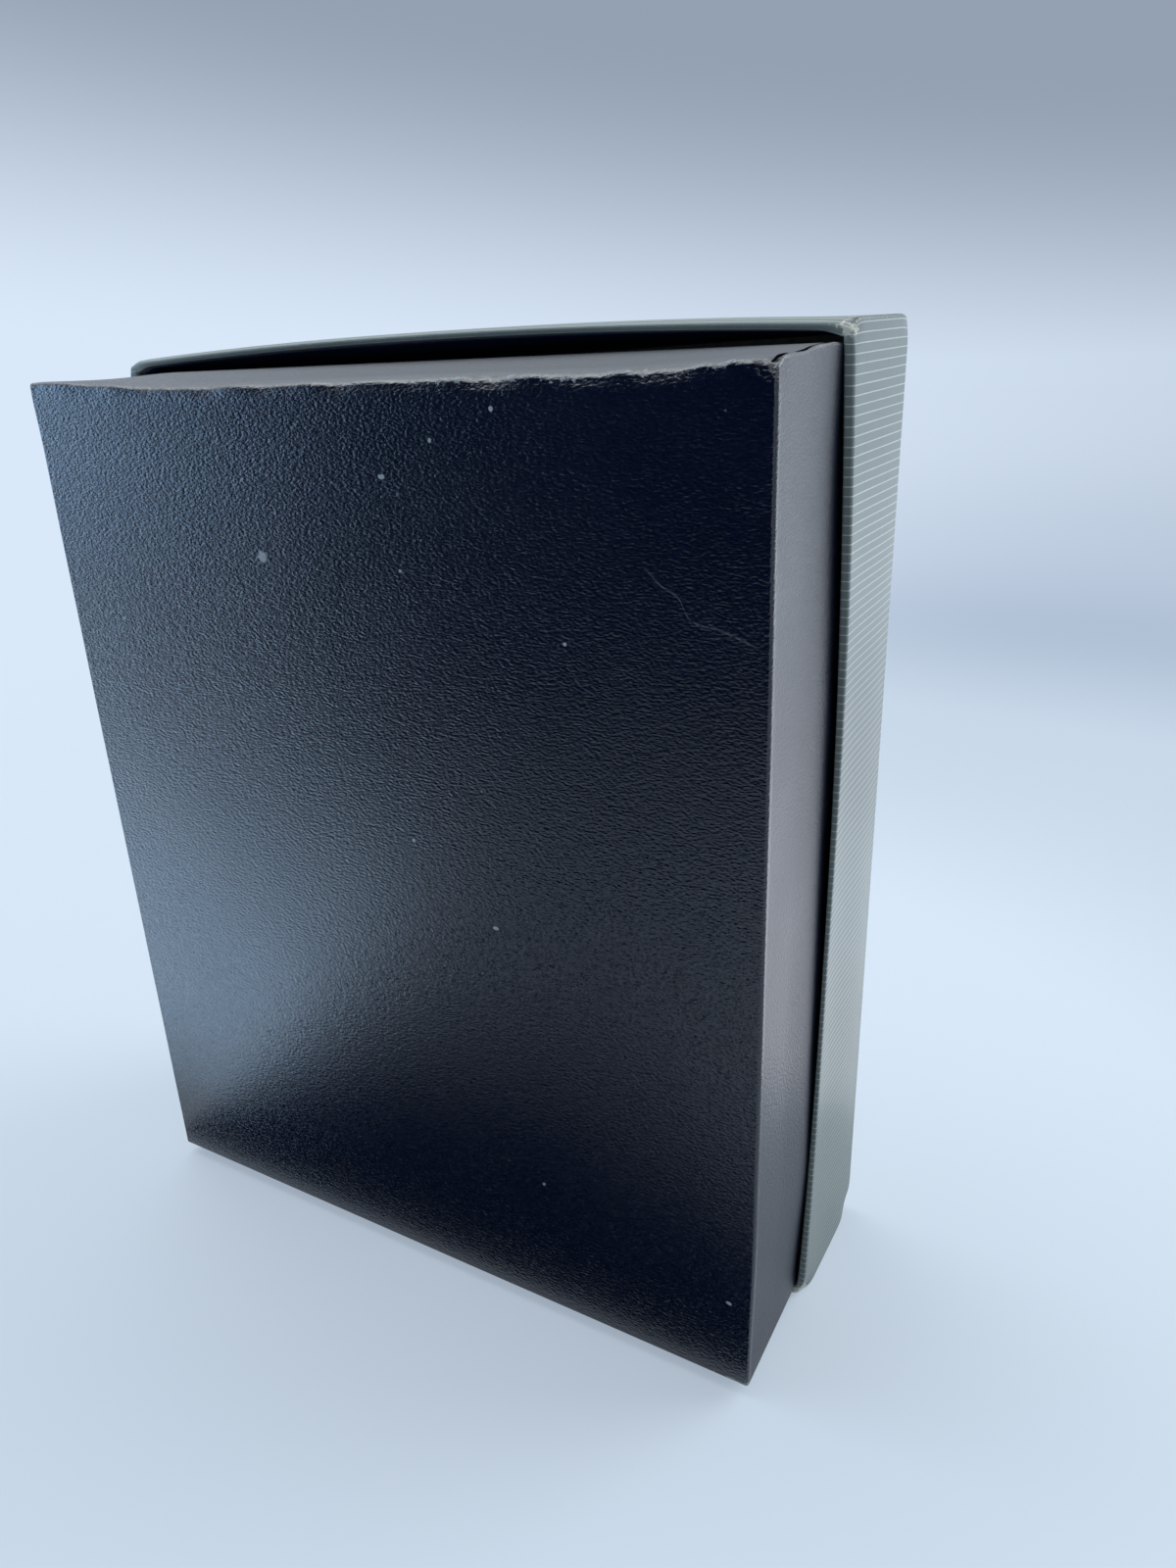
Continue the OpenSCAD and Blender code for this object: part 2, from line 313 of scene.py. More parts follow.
leatheretteLook = {
    "colour": (0.0009, 0.0028, 0.0120, 1),
    "paleColour": (0.0030, 0.0066, 0.0200, 1),
    "wornColour": (0.30, 0.31, 0.31, 1),
    "dustColour": (0.22, 0.23, 0.24, 1),
    "openColour": (0.002, 0.002, 0.003, 1),
    "strokes": 4600.0,  # per metre, up the box
    "pebbles": 3300.0,
    "strokeLength": 0.30,  # how much coarser they are across the box
    "fleckColour": (0.060, 0.078, 0.105, 1),
    "flecks": 2900.0,
    "fleckShare": (0.04, 0.90),  # on the right, and on the left of the panel, where the flecks are painted glints in its sheen
    "fleckDepth": 1.5,
    "roughness": 0.20,
    "rubbed": 0.22,  # how much duller the handled walls are than the panel
    "gloss": 0.75,
    "relief": 0.00008,  # metres
}
# Pale crease and small chips on the bottom panel: x and z in millimetres
creaseLine = [(42.8, 118.2), (44.7, 116.2), (46.9, 114.9), (48.6, 112.4), (52.0, 111.6), (57.1, 109.7)]
chips = [
    # x, z, radius, lengthways stretch
    (-14.9, 116.3, 0.85, 1.0),
    (15.0, 131.3, 0.28, 1.0),
    (7.2, 127.1, 0.32, 1.6),
    (8.7, 115.7, 0.25, 1.0),
    (24.0, 134.7, 0.30, 1.0),
    (6.5, 78.2, 0.26, 1.0),
    (19.3, 67.4, 0.30, 1.8),
    (32.3, 108.4, 0.28, 1.0),
    (24.7, 25.5, 0.24, 1.0),
    (54.4, 16.7, 0.34, 1.5),
]


def leatherette():
    look = leatheretteLook
    n, finish = startLook("leatherette paper", look["roughness"], Specular_IOR_Level=look["gloss"])
    place = n.place()
    lean = (0.0, math.radians(8), 0.0)
    apart = n.apart(place)
    strokes = n.noise(n.stretch(place, (look["strokeLength"], 0.6, 1.0), lean), look["strokes"], 3.0, 0.55)
    grown = {"Vector": n.stretch(place, (0.45, 0.7, 1.0), lean), "Scale": look["pebbles"], "Smoothness": 0.4}
    pebbles = n.add("ShaderNodeTexVoronoi", grown, feature="SMOOTH_F1").outputs["Distance"]
    fine = n.noise(n.stretch(place, (0.62, 0.8, 1.0), lean), look["flecks"], 2.0)
    broad = n.noise(place, 45.0, 4.0)
    worn = n.use(rubbed, Place=place, Wear=n.painted("wear"), Scale=900.0, Softness=0.10)["Mask"]
    specks = n.use(dust, Place=place, Scale=210.0, Size=0.055)["Mask"]
    pale = n.largest(worn, faceMarks(n, apart, place))
    split = n.painted("crack")
    # paler strokes of the grain: its tone, and painted glints on the raised strokes
    lit = n.times(n.ramp(strokes, 0.48, 0.74), n.ramp(broad, 0.2, 0.7, 0.35, 1.0))
    colour = n.mix(lit, look["colour"], look["paleColour"])
    # pale flecks of the grain, far stronger on the left of the panel: painted glints in its sheen
    sheenGlintSide = n.ramp(apart["X"], 0.004, -0.054, *look["fleckShare"])
    colour = n.mix(n.times(n.ramp(fine, 0.50, 0.68), sheenGlintSide), colour, look["fleckColour"])
    colour = n.mix(n.times(specks, 0.35), colour, look["dustColour"])
    # pale where rubbed; along the top front edge this is also a painted highlight
    colour = n.mix(n.times(pale, 0.9), colour, look["wornColour"])
    # painted shade: near black inside the split of the paper
    colour = n.mix(n.times(split, 0.95), colour, look["openColour"])
    rough = n.blend(broad, 0.12, look["roughness"] - 0.06)
    rough = n.plus(rough, n.ramp(apart["Y"], -0.0216, -0.0205, 0.0, look["rubbed"]))
    rough = n.blend(n.largest(pale, split), 0.45, rough, clamp=True)
    height = n.blend(fine, look["fleckDepth"], n.blend(pebbles, -0.7, strokes))
    return finish(colour, n.blend(pale, 0.5, height), 0.7, look["relief"], rough)


def faceMarks(n, apart, place):  # the crease and the chips, only on the front of the panel
    x, z = n.times(apart["X"], 1000.0), n.times(apart["Z"], 1000.0)
    rag = n.blend(n.noise(place, 1400.0, 3.0), 1.6, -0.8)
    (first, highest), (last, lowest) = creaseLine[0], creaseLine[-1]
    line = n.add("ShaderNodeFloatCurve", {"Value": n.ramp(x, first, last, kind="LINEAR")})
    points = line.mapping.curves[0].points
    points[0].location, points[-1].location = (0, 1), (1, 0)
    for px, pz in creaseLine[1:-1]:
        points.new((px - first) / (last - first), (pz - lowest) / (highest - lowest))
    line.mapping.update()
    away = n.size(n.minus(z, n.blend(line.outputs["Value"], highest - lowest, lowest)))
    near = n.times(n.ramp(n.blend(rag, 0.35, away), 0.19, 0.03), n.ramp(rag, -0.30, 0.25, 0.10, 1.0))
    inRange = n.times(n.ramp(x, first, first + 0.6), n.ramp(x, last, last - 2.5))
    marks = n.times(n.times(near, inRange), 0.32)
    for chipX, chipZ, radius, stretch in chips:
        across, up = n.over(n.minus(x, chipX), stretch), n.minus(z, chipZ)
        far = maths(n.tree, "SQRT", n.blend(across, across, n.times(up, up)))
        marks = n.largest(marks, n.ramp(n.blend(rag, radius * 0.7, far), radius, radius * 0.7))
    return n.times(marks, maths(n.tree, "LESS_THAN", apart["Y"], -0.0212))


pinstripeLook = {
    "ground": (0.198, 0.228, 0.222, 1),
    "groundDeep": (0.160, 0.187, 0.178, 1),
    "stripe": (0.52, 0.54, 0.48, 1),
    "wornColour": (0.62, 0.60, 0.52, 1),
    "openColour": (0.02, 0.025, 0.022, 1),
    "pitch": 1.08,  # millimetres
    "stripeShare": 0.12,
    "roughness": 0.38,
    "relief": 0.00009,  # metres
}


def pinstripe():
    look = pinstripeLook
    n, finish = startLook("pinstripe paper", look["roughness"], Specular_IOR_Level=0.14)
    place = n.place()
    paper = n.add("ShaderNodeUVMap", uv_map="paper").outputs["UV"]
    wander = n.noise(n.stretch(paper, (0.02, 0.35, 1.0)), 1.0, 2.0)
    line = n.blend(wander, 0.10, n.over(n.apart(paper)["Y"], look["pitch"]))
    phase = n.size(n.minus(maths(n.tree, "FRACT", line), 0.5))
    half = look["stripeShare"] / 2
    ink = n.noise(n.stretch(paper, (0.25, 6.0, 1.0)), 2.2, 4.0, 0.7)
    stripe = n.ramp(n.blend(ink, 0.10, phase), half + 0.08, half + 0.03)
    grain = n.use(paperGrain, Place=place, Fibre_Scale=1500.0, Tooth_Scale=4200.0)
    ground = n.mix(n.ramp(grain["Shade"], 0.36, 0.66), look["groundDeep"], look["ground"])
    strength = n.times(stripe, n.blend(ink, 0.5, 0.55, clamp=True))
    worn = n.use(rubbed, Place=place, Wear=n.painted("wear"), Scale=1100.0, Softness=0.08)["Mask"]
    colour = n.mix(strength, ground, look["stripe"])
    colour = n.mix(n.times(worn, 0.9), colour, look["wornColour"])
    # painted shade: dark in the fold of the wrap down the top right corner
    colour = n.mix(n.times(n.painted("crack"), 0.9), colour, look["openColour"])
    rough = n.blend(strength, -0.06, n.blend(grain["Shade"], 0.25, look["roughness"] - 0.1))
    height = n.blend(stripe, 0.25, n.blend(worn, 0.6, grain["Height"]))
    return finish(colour, height, 0.4, look["relief"], n.blend(worn, 0.4, rough, clamp=True))


boards = {
    # name: colour, darker colour, roughness, specular, bump in millimetres, fibre scale
    "grey board": (rgb(150, 142, 128), rgb(112, 104, 92), 0.9, 0.5, 0.10, 700.0),
    "tape paper": (rgb(214, 196, 160), rgb(188, 166, 128), 0.75, 0.5, 0.05, 1100.0),
    "black lining": (rgb(32, 47, 92), rgb(20, 31, 66), 0.55, 0.5, 0.04, 1300.0),
    "white card": (rgb(226, 223, 214), rgb(204, 199, 188), 0.8, 0.5, 0.04, 1200.0),
    # the sliver in the base's split: painted shade
    "split paper": (rgb(16, 15, 18), rgb(6, 6, 8), 0.95, 0.0, 0.03, 1500.0),
}


def boardMaterial(name):
    colour, dark, roughness, specular, relief, fibres = boards[name]
    n, finish = startLook(name, roughness, Specular_IOR_Level=specular)
    grain = n.use(paperGrain, Place=n.place(), Fibre_Scale=fibres, Tooth_Scale=fibres * 3.2)
    flecks = n.use(dust, Place=n.place(), Scale=420.0, Size=0.12)["Mask"]
    shade = n.mix(n.ramp(grain["Shade"], 0.3, 0.7), dark, colour)
    rough = n.blend(grain["Shade"], 0.2, roughness - 0.1, clamp=True)
    return finish(n.mix(n.times(flecks, 0.4), shade, dark), grain["Height"], 0.6, relief * mm, rough)


def velvet():
    n, finish = startLook("ivory velvet", 0.9, Sheen_Weight=0.55, Sheen_Roughness=0.35, Specular_IOR_Level=0.2)
    place = n.place()
    pile = n.noise(place, 5200.0, 3.0, 0.7)
    brushed = n.ramp(n.noise(n.stretch(place, (1.0, 1.0, 0.5)), 70.0, 5.0, 0.55), 0.30, 0.72)
    colour = n.mix(brushed, rgb(210, 202, 184), rgb(226, 219, 203))
    colour = n.mix(n.ramp(pile, 0.3, 0.7, 0.0, 0.45), colour, rgb(176, 166, 146))
    return finish(colour, n.blend(brushed, 0.25, pile), 0.6, 0.00018)


def satin():
    n, finish = startLook("ivory satin", 0.33, Sheen_Weight=0.25, Specular_IOR_Level=0.55)
    place = n.place()
    flat = n.stretch(place, (1, 1, 1), (math.radians(90), 0, 0))
    threads = n.use(weave, Place=flat, Warp=14000.0, Weft=5200.0)
    slub = n.noise(n.stretch(place, (0.08, 1.0, 1.0)), 1500.0, 3.0)
    shade = n.blend(slub, 0.7, n.times(threads["Over"], 0.3))
    colour = n.mix(shade, rgb(206, 197, 178), rgb(236, 230, 216))
    height = n.blend(threads["Height"], 0.6, slub)
    return finish(colour, height, 0.5, 0.00005, n.blend(shade, 0.18, 0.26))


def ribbonWeave():
    n, finish = startLook("grosgrain ribbon", 0.5, Sheen_Weight=0.2)
    cloth = n.add("ShaderNodeUVMap", uv_map="cloth").outputs["UV"]
    apart = n.apart(cloth)
    ribs = n.size(n.sine(n.times(apart["Y"], math.pi / 0.55)))
    yarn = n.noise(n.stretch(cloth, (6.0, 1.0, 1.0)), 1.6, 3.0)
    selvage = n.ramp(n.size(n.minus(apart["X"], 5.0)), 4.2, 4.5)
    height = n.times(ribs, n.blend(selvage, -0.6, 1.0))
    # darker where the ribs are low, in their grooves and along the flatter selvages: painted shade
    colour = n.mix(n.blend(height, 0.6, n.times(yarn, 0.4)), rgb(190, 180, 156), rgb(234, 226, 206))
    return finish(colour, n.blend(yarn, 0.3, height), 0.8, 0.00012)


def foam(name, light, dark):
    n, finish = startLook(name, 0.95, Specular_IOR_Level=0.15)
    pits = n.ramp(n.cells(n.place(), 1500.0)["Distance"], 0.12, 0.55)
    holes = n.ramp(n.cells(n.place(), 420.0)["Distance"], 0.10, 0.22)
    shade = n.times(pits, holes)
    return finish(n.mix(shade, dark, light), shade, 0.9, 0.00030)


blackLeatherette = leatherette()
pinstripePaper = pinstripe()
greyBoard, tapePaper, blackLining, whiteCard, splitShadeBlack = [boardMaterial(name) for name in boards]
ivoryVelvet = velvet()
ivorySatin = satin()
ribbonCloth = ribbonWeave()
greyFoam = foam("grey foam", rgb(120, 120, 124), rgb(58, 58, 62))
whiteFoam = foam("white foam", rgb(232, 230, 220), rgb(188, 184, 170))


# The two trays: paper wraps and boards, carried round a rounded outline

print("building the trays")

traySizes = {
    # size x and z, middle height, outer face of the panel, way to the rim, depth, bow of the walls at the rim
    "base": {"size": (115.0, 137.5), "mid": 70.9, "panel": -22.0, "way": 1, "depth": 42.1, "bow": 0.0},
    "lid": {"size": (120.0, 142.5), "mid": 71.25, "panel": 22.0, "way": -1, "depth": 24.0, "bow": 1.8},
    "edgeRadius": 0.5,
    "sharpRadius": 0.15,
    "wall": 2.0,
    "paper": 0.3,
    "skin": 0.4,
    "board": 1.2,
    "hair": 0.06,  # keeps the board clear of the paper where both are pressed in
    "turnIn": 13.0,
    "tapeReach": 9.0,
    "tapeSkins": (0.33, 0.38),  # how far the tape's two faces lie under the paper's outside
}
cornerSigns = [(1, 1), (-1, 1), (-1, -1), (1, -1)]
sideOutward = [(0, 1), (-1, 0), (0, 0), (1, 0)]  # the lower wall stands flat


def sideStops(length, spacing):  # shares of a side, closer together near the corners
    fine, step = [0.0], 0.14
    while step < spacing and fine[-1] < length / 3:
        fine.append(fine[-1] + step)
        step *= 1.16
    middle = length - 2 * fine[-1]
    count = max(2, round(middle / spacing))
    inner = [fine[-1] + middle * i / count for i in range(1, count)]
    return [stop / length for stop in fine[1:] + inner + [length - f for f in reversed(fine[1:])]]


def evenStops(*counts):
    return [[i / count for i in range(1, count)] for count in counts]


def roundedRing(width, length, radius, steps, stops, bow=0.0):
    # points [x, z] anticlockwise from the lower end of the first corner; the walls bow outwards
    corners = []
    for k, (sx, sz) in enumerate(cornerSigns):
        turn = np.radians(90 * k + 90 * np.arange(steps + 1) / steps)
        x = sx * (width / 2 - radius) + radius * np.cos(turn)
        corners.append(np.column_stack([x, sz * (length / 2 - radius) + radius * np.sin(turn)]))
    ring = []
    for k in range(4):
        t = np.array(stops[k % 2])[:, None]
        start, end = corners[k][-1], corners[(k + 1) % 4][0]
        swell = bow * 4 * t * (1 - t) * np.array(sideOutward[k])
        ring += [corners[k], start + (end - start) * t + swell]
    return np.vstack(ring)


def ringAt(ring, y, mid):
    return np.column_stack([ring[:, 0], np.full(len(ring), y), ring[:, 1] + mid])


def trayRing(tray, inset, v, arcs):  # the outline at an inset and a depth, from the middle of the first corner
    radius = max(traySizes["edgeRadius"] - inset, traySizes["sharpRadius"])
    width, length = (size - 2 * inset for size in tray["size"])
    ring = roundedRing(width, length, radius, arcs["corner"], arcs["stops"], tray["bow"] * v / tray["depth"])
    return ringAt(np.roll(ring, -(arcs["corner"] // 2), axis=0), tray["panel"] + tray["way"] * v, tray["mid"])


def ringFaces(rings, size, closed=False, ends=False):
    # quads between rings; with ends, the two halves of the first and last ring are joined too
    faces = []
    for s in range(rings if closed else rings - 1):
        first, second = s * size, (s + 1) % rings * size
        for i in range(size):
            n = (i + 1) % size
            faces.append((first + i, second + i, second + n, first + n))
    for first in (0, (rings - 1) * size) if ends else ():
        last = first + size - 1
        faces += [(first + i, first + i + 1, last - i - 1, last - i) for i in range(size // 2 - 1)]
    return faces


def turnedQuarter(steps):
    return [math.radians(90 * i / steps) for i in range(steps + 1)]


def edgeStations(under, steps):  # round the panel's edge
    radius = max(traySizes["edgeRadius"] - under, traySizes["sharpRadius"])
    near = under + radius
    arc = [(near - radius * math.sin(a), near - radius * math.cos(a)) for a in turnedQuarter(steps)]
    return arc, near, radius


wrapLook = {
    "steps": 6,  # round an edge
    "fine": 0.9,  # spacing down a wall, coarser beyond fineReach
    "coarse": 3.0,
    "fineReach": 22.0,
}


def wrapStations(depth, under):
    # [inset, depth] from the panel's edge over the wall and its rim; under is the depth below the surface
    look = wrapLook
    stations, near, radius = edgeStations(under, look["steps"])
    far = traySizes["wall"] - under - radius
    rim = depth - under - radius
    v = near
    while v + look["fine"] < rim - 0.4 * look["fine"]:
        v += look["fine"] if v < look["fineReach"] else look["coarse"]
        if v < rim - 0.4 * look["fine"]:
            stations.append((under, v))
    arc = turnedQuarter(look["steps"])
    stations += [(near - radius * math.cos(a), rim + radius * math.sin(a)) for a in arc]
    stations += [(far + radius * math.sin(a), rim + radius * math.cos(a)) for a in arc]
    length = rim - (depth - traySizes["turnIn"])
    count = max(2, round(length / look["coarse"]))
    return stations + [(traySizes["wall"] - under, rim - length * i / count) for i in range(1, count + 1)]


def boardStations(depth, under):
    end = depth - traySizes["skin"] - traySizes["hair"]
    return edgeStations(under, 3)[0] + [(under, 3.0 + (end - 3.0) * i / 14) for i in range(15)]


def sideCounts(arcs):
    return [len(stops) + 1 + arcs["corner"] for stops in arcs["stops"]]


def traySurface(tray, stations, arcs):
    # the points of a panel and its walls: rings of the wall first, then the panel's inner grid
    rings = [trayRing(tray, inset, v, arcs) for inset, v in stations]
    edge = rings[0]
    across, along = sideCounts(arcs)
    top = edge[: across + 1][::-1]  # left to right
    left = edge[across : across + along + 1][::-1]  # bottom to top
    bottom = edge[across + along : 2 * across + along + 1]
    right = np.vstack([edge[2 * across + along :], edge[:1]])
    u = ((top[:, 0] - top[0, 0]) / (top[-1, 0] - top[0, 0]))[:, None, None]
    v = ((right[:, 2] - right[0, 2]) / (right[-1, 2] - right[0, 2]))[None, :, None]
    grid = (1 - v) * bottom[:, None] + v * top[:, None] + (1 - u) * left[None] + u * right[None]
    grid -= (1 - u) * (1 - v) * bottom[0] + u * (1 - v) * bottom[-1] + (1 - u) * v * top[0] + u * v * top[-1]
    return np.vstack(rings + [grid[1:-1, 1:-1].reshape(-1, 3)])


def trayFaces(rings, across, along, way):  # quads, and which side each belongs to: -1 is the panel
    size = 2 * (across + along)

    def panelIndex(i, j):
        if j == along:
            return across - i
        if i == 0:
            return across + along - j
        if j == 0:
            return across + along + i
        if i == across:
            return (2 * across + along + j) % size
        return rings * size + (i - 1) * (along - 1) + (j - 1)

    corners = ((0, 0), (1, 0), (1, 1), (0, 1))
    faces = [tuple(panelIndex(i + a, j + b) for a, b in corners) for i in range(across) for j in range(along)]
    starts = (across, across + along, 2 * across + along)
    sides = [-1] * len(faces) + [sum(i >= start for start in starts) for i in range(size)] * (rings - 1)
    return [face[::way] for face in faces + ringFaces(rings, size)], sides


def paperCoordinates(points, faces, sides, tray, stations, size):
    # unrolled place on the paper, in millimetres: the walls carry on from the panel's edges
    run = np.concatenate([[0.0], np.cumsum([math.dist(a, b) for a, b in zip(stations, stations[1:])])])
    halfX, halfZ = (width / 2 - stations[0][0] for width in tray["size"])
    uv = []
    for face, side in zip(faces, sides):
        for index in face:
            x, _, z = points[index]
            s = run[index // size] if side >= 0 else 0.0
            u = (x, -halfX - s, x, halfX + s, x)[side]
            uv.append((u, (tray["mid"] + halfZ + s, z, tray["mid"] - halfZ - s, z, z)[side]))
    return uv


def meshPiece(name, points, faces, material, uv=None, uvName="paper", marks=None, sharp=None):
    # a closed shell from points in millimetres, with its faces turned outwards
    mesh = bpy.data.meshes.new(name)
    mesh.from_pydata((np.asarray(points) * mm).tolist(), [], faces)
    if uv is not None:
        layer = mesh.uv_layers.new(name=uvName)
        layer.data.foreach_set("uv", np.asarray(uv, np.float32).ravel())
    for label, values in (marks or {}).items():
        attribute = mesh.attributes.new(label, "FLOAT", "POINT")
        attribute.data.foreach_set("value", np.asarray(values, np.float32))
    mesh.materials.append(material)
    mesh.shade_smooth()
    mesh.validate()
    shell = bmesh.new()
    shell.from_mesh(mesh)
    bmesh.ops.recalc_face_normals(shell, faces=shell.faces[:])
    shell.to_mesh(mesh)
    shell.free()
    if sharp:
        mesh.set_sharp_from_angle(angle=math.radians(sharp))
    return link(name, mesh)


def shellPiece(name, tray, layers, arcs, bend, material, marks=None):
    # a closed skin between an outer and an inner surface that have the same stations
    across, along = sideCounts(arcs)
    outer, inner = [traySurface(tray, stations, arcs) for stations in layers]
    size, count = 2 * (across + along), len(outer)
    faces, sides = trayFaces(len(layers[0]), across, along, tray["way"])
    uv = paperCoordinates(outer, faces, sides, tray, layers[0], size)
    back = [tuple(count + i for i in face[::-1]) for face in faces]
    uv += [uv[4 * f + 3 - c] for f in range(len(faces)) for c in range(4)]
    last = (len(layers[0]) - 1) * size
    ends = []
    for i in range(size):
        n = (i + 1) % size
        ends.append((last + i, count + last + i, count + last + n, last + n)[:: tray["way"]])
    wear = marks(outer) if marks else {}
    wear = {label: np.concatenate([values, values * 0]) for label, values in wear.items()}
    points = np.vstack([bend(outer, 0.0), bend(inner, traySizes["paper"])])
    return meshPiece(name, points, faces + back + ends, material, uv + [(0.0, 0.0)] * 4 * size, marks=wear)


def bell(distance, width):
    return np.exp(-(distance ** 2) / (2 * width * width))


def between(value, low, high):  # 0 below low, 1 above high, smooth
    t = np.clip((value - low) / (high - low), 0, 1)
    return t * t * (3 - 2 * t)


def wavy(points, scale, seed, octaves=3):  # smooth noise from -1 to 1 at each point
    offset = Vector((seed * 7.3, seed * 3.1, seed * 11.7))
    return np.array([noise.fractal(Vector(p) * scale + offset, 1.0, 2.0, octaves) for p in points])


def wavyWhere(where, points, scale, seed, octaves):
    values = np.zeros(len(points))
    values[where] = wavy(points[where], scale, seed, octaves)
    return values


def farFrom(*distances):
    return np.sqrt(sum(distance ** 2 for distance in distances))


# How a handled base differs from a new one, in millimetres
baseWear = {
    "slope": 1.25,  # how far the top wall falls towards the front
    "edgeDrop": 0.45,  # how far the panel's top edge is pressed in
    "nicks": (0.20, 0.42),  # depth of its nicks, and how much more on the right
    "swell": 0.70,  # how far the top wall rises before it goes under the lid
    "cornerDrop": 0.20,
    "split": (56.55, 56.85),  # x of the paper's split beside the top right edge, at its front and its back
    "splitDeep": 0.60,
    "panelSink": 0.22,
    "sideSwell": 0.50,  # how far the right wall bows out at its front, and how much more before the lid
    "sideFlare": 0.60,
    "innerShare": 0.25,  # how much of the top wall's slope the layers inside it follow
}


def baseDistances(points):  # from the front of the panel, below the top, in from the right, up from the bottom
    tray = traySizes["base"]
    half = tray["size"][1] / 2
    x, y, z = points.T
    return y - tray["panel"], tray["mid"] + half - z, tray["size"][0] / 2 - x, z - tray["mid"] + half


def bendBase(points, under):
    look, right = baseWear, traySizes["base"]["size"][0] / 2
    v, h, r, up = baseDistances(points)
    p = points.copy()
    x = p[:, 0]  # follows the bow of the wall
    slow = wavyWhere(v < 14, points * (1, 0, 1), 0.022, 1, 2)
    p[:, 1] += look["panelSink"] * (0.5 + 0.5 * slow) * between(v, 5.0, 0.0) * between(h, 0.0, 10.0)
    tall = between(points[:, 2], 2, 30) * (1 - 0.6 * between(points[:, 2], 95, 132))
    bowed = look["sideSwell"] * between(v, 34, 21) + look["sideFlare"] * between(v, 9, 20) * between(v, 32, 21)
    p[:, 0] += tall * bowed * between(x, 30, right)
    # the top wall slopes down to its pressed front edge, which is nicked towards the right
    along = (between(x, -right, -25) * 0.92 + 0.08) * (1 - 0.55 * between(x, 38, right))
    stiff = 1.0 if under < 1.0 else look["innerShare"]
    upper = stiff * between(h, 7.0, 0.0)
    p[:, 2] -= look["slope"] * along * np.clip(1 - v / 19.0, 0, 1) * upper
    p[:, 2] += look["swell"] * between(v, 6, 17) * between(v, 34, 24) * between(right + x, 0, 12) * upper
    nicks = wavyWhere((v < 4) & (h < 4), points * (1, 0, 0), 0.34, 6, 4)
    small, large = look["nicks"]
    dips = np.abs(nicks) * (small + large * between(x, 0, 30)) + 0.10 * np.sin(x * 0.55 + 1.0)
    press = stiff * (look["edgeDrop"] * along + dips) * bell(v, 1.1) * bell(h, 1.1)
    # the crumpled corner
    far = farFrom(v, h, r)
    dent = bell(far, 1.9) * look["cornerDrop"]
    folds = wavyWhere((v < 12) & (h < 12) & (r < 16), points * (1.3, 0.8, 1.6), 0.5, 4, 3)
    crease = np.abs(bell(far, 4.0) * folds * 0.16)
    p[:, 0] -= 0.75 * dent
    p[:, 1] += 0.60 * (press + dent) + crease * 0.7 * between(h, 12, 1)
    p[:, 2] -= 0.80 * press + 0.85 * dent + crease * 0.6
    if under == 0:
        gap, lifted = splitLines(points[:, 0], v, h)
        p[:, 2] += 0.15 * lifted - look["splitDeep"] * gap
    return p


def splitMiddle(v):
    front, back = baseWear["split"]
    return front + (back - front) * np.clip((v - 2.0) / 15.0, 0, 1) + 0.12 * np.sin(v * 0.9)


def splitLines(x, v, h):  # how open the split is, and how far the paper beside it is lifted
    wide = 0.13 + 0.12 * between(v, 14.0, 4.0)
    on = (h < 0.7) * between(v, 0.4, 1.6) * between(v, 20.0, 16.5)
    away = x - splitMiddle(v)
    return bell(away, wide) * on, bell(away - 0.55, 0.28) * on


def baseMarks(points):
    v, h, r, up = baseDistances(points)
    x = points[:, 0]
    wear = [
        # the broken pale line along the panel's top front edge, stronger to the right: rubbing, and a painted
        # highlight on the edge's rounding
        bell(v - 0.5, 0.9) * bell(h - 0.2, 0.9) * (0.18 + 0.34 * between(x, 4, 18)),
        bell(farFrom(v, h, r), 2.4) * 0.50,
        bell(v, 0.7) * bell(r, 0.7) * 0.20,
        bell(v, 0.8) * bell(up, 0.7) * (0.35 + 0.6 * bell(r, 3.0)),
        bell(v, 0.7) * bell(traySizes["base"]["size"][0] - r, 0.7) * 0.25,
    ]
    return {"wear": np.maximum.reduce(wear), "crack": splitLines(x, v, h)[0]}


lidWear = {
    "sink": 0.30,  # how far the panel sinks in its middle
    "squeeze": 0.30,  # share by which the top wall is thinner at its rim
    "topRound": 0.55,  # how far the top wall's outer edge falls at the rim
    "pressIn": 0.70,  # how far the right wall is pressed in: outside, more at its rim, most low down
    "pressRim": 0.10,
    "pressLow": 0.95,
    "inside": (0.10, 0.35),
    "cornerLift": (0.30, 1.05),  # at the rim, and more at the back
    "foldDeep": 0.22,
    "foldFrom": 0.75,  # how far in from the corner the wrap's fold lies
    "pushed": [
        # corners: side in x and z, at the rim or the back, how far it is pushed in, width
        (1, -1, 1, 1.7, 1.9),
        (1, 1, 1, 0.7, 1.4),
        (1, -1, 0, 1.2, 2.0),
        (1, 1, 0, 0.5, 1.4),
        (-1, 1, 1, 0.45, 1.4),
        (-1, 1, 0, 0.4, 1.4),
    ],
    "rubbed": [
        # corners: side in x and z, at the rim or the back, how far in from the side, wear, width
        (1, 1, 1, 0.8, 0.80, 2.1),
        (1, -1, 1, 0, 1.0, 2.1),
        (1, -1, 0, 0, 0.8, 1.8),
        (1, 1, 0, 0, 0.6, 1.3),
        (-1, 1, 1, 0, 0.7, 1.3),
        (-1, -1, 1, 0, 0.7, 1.3),
        (-1, 1, 0, 0, 0.6, 1.2),
        (-1, -1, 0, 0, 0.6, 1.2),
    ],
    "edges": 0.42,
}


def lidFold(x, z, d, deep, wide):  # the fold of the wrap down the top right corner
    tray = traySizes["lid"]
    hx, hz = tray["size"][0] / 2, tray["size"][1] / 2
    ends = between(d, 0.8, 2.0) * between(d, tray["depth"] - 0.6, tray["depth"] - 2.0)
    return bell(z - hz, deep) * bell(x - hx + lidWear["foldFrom"], wide) * ends


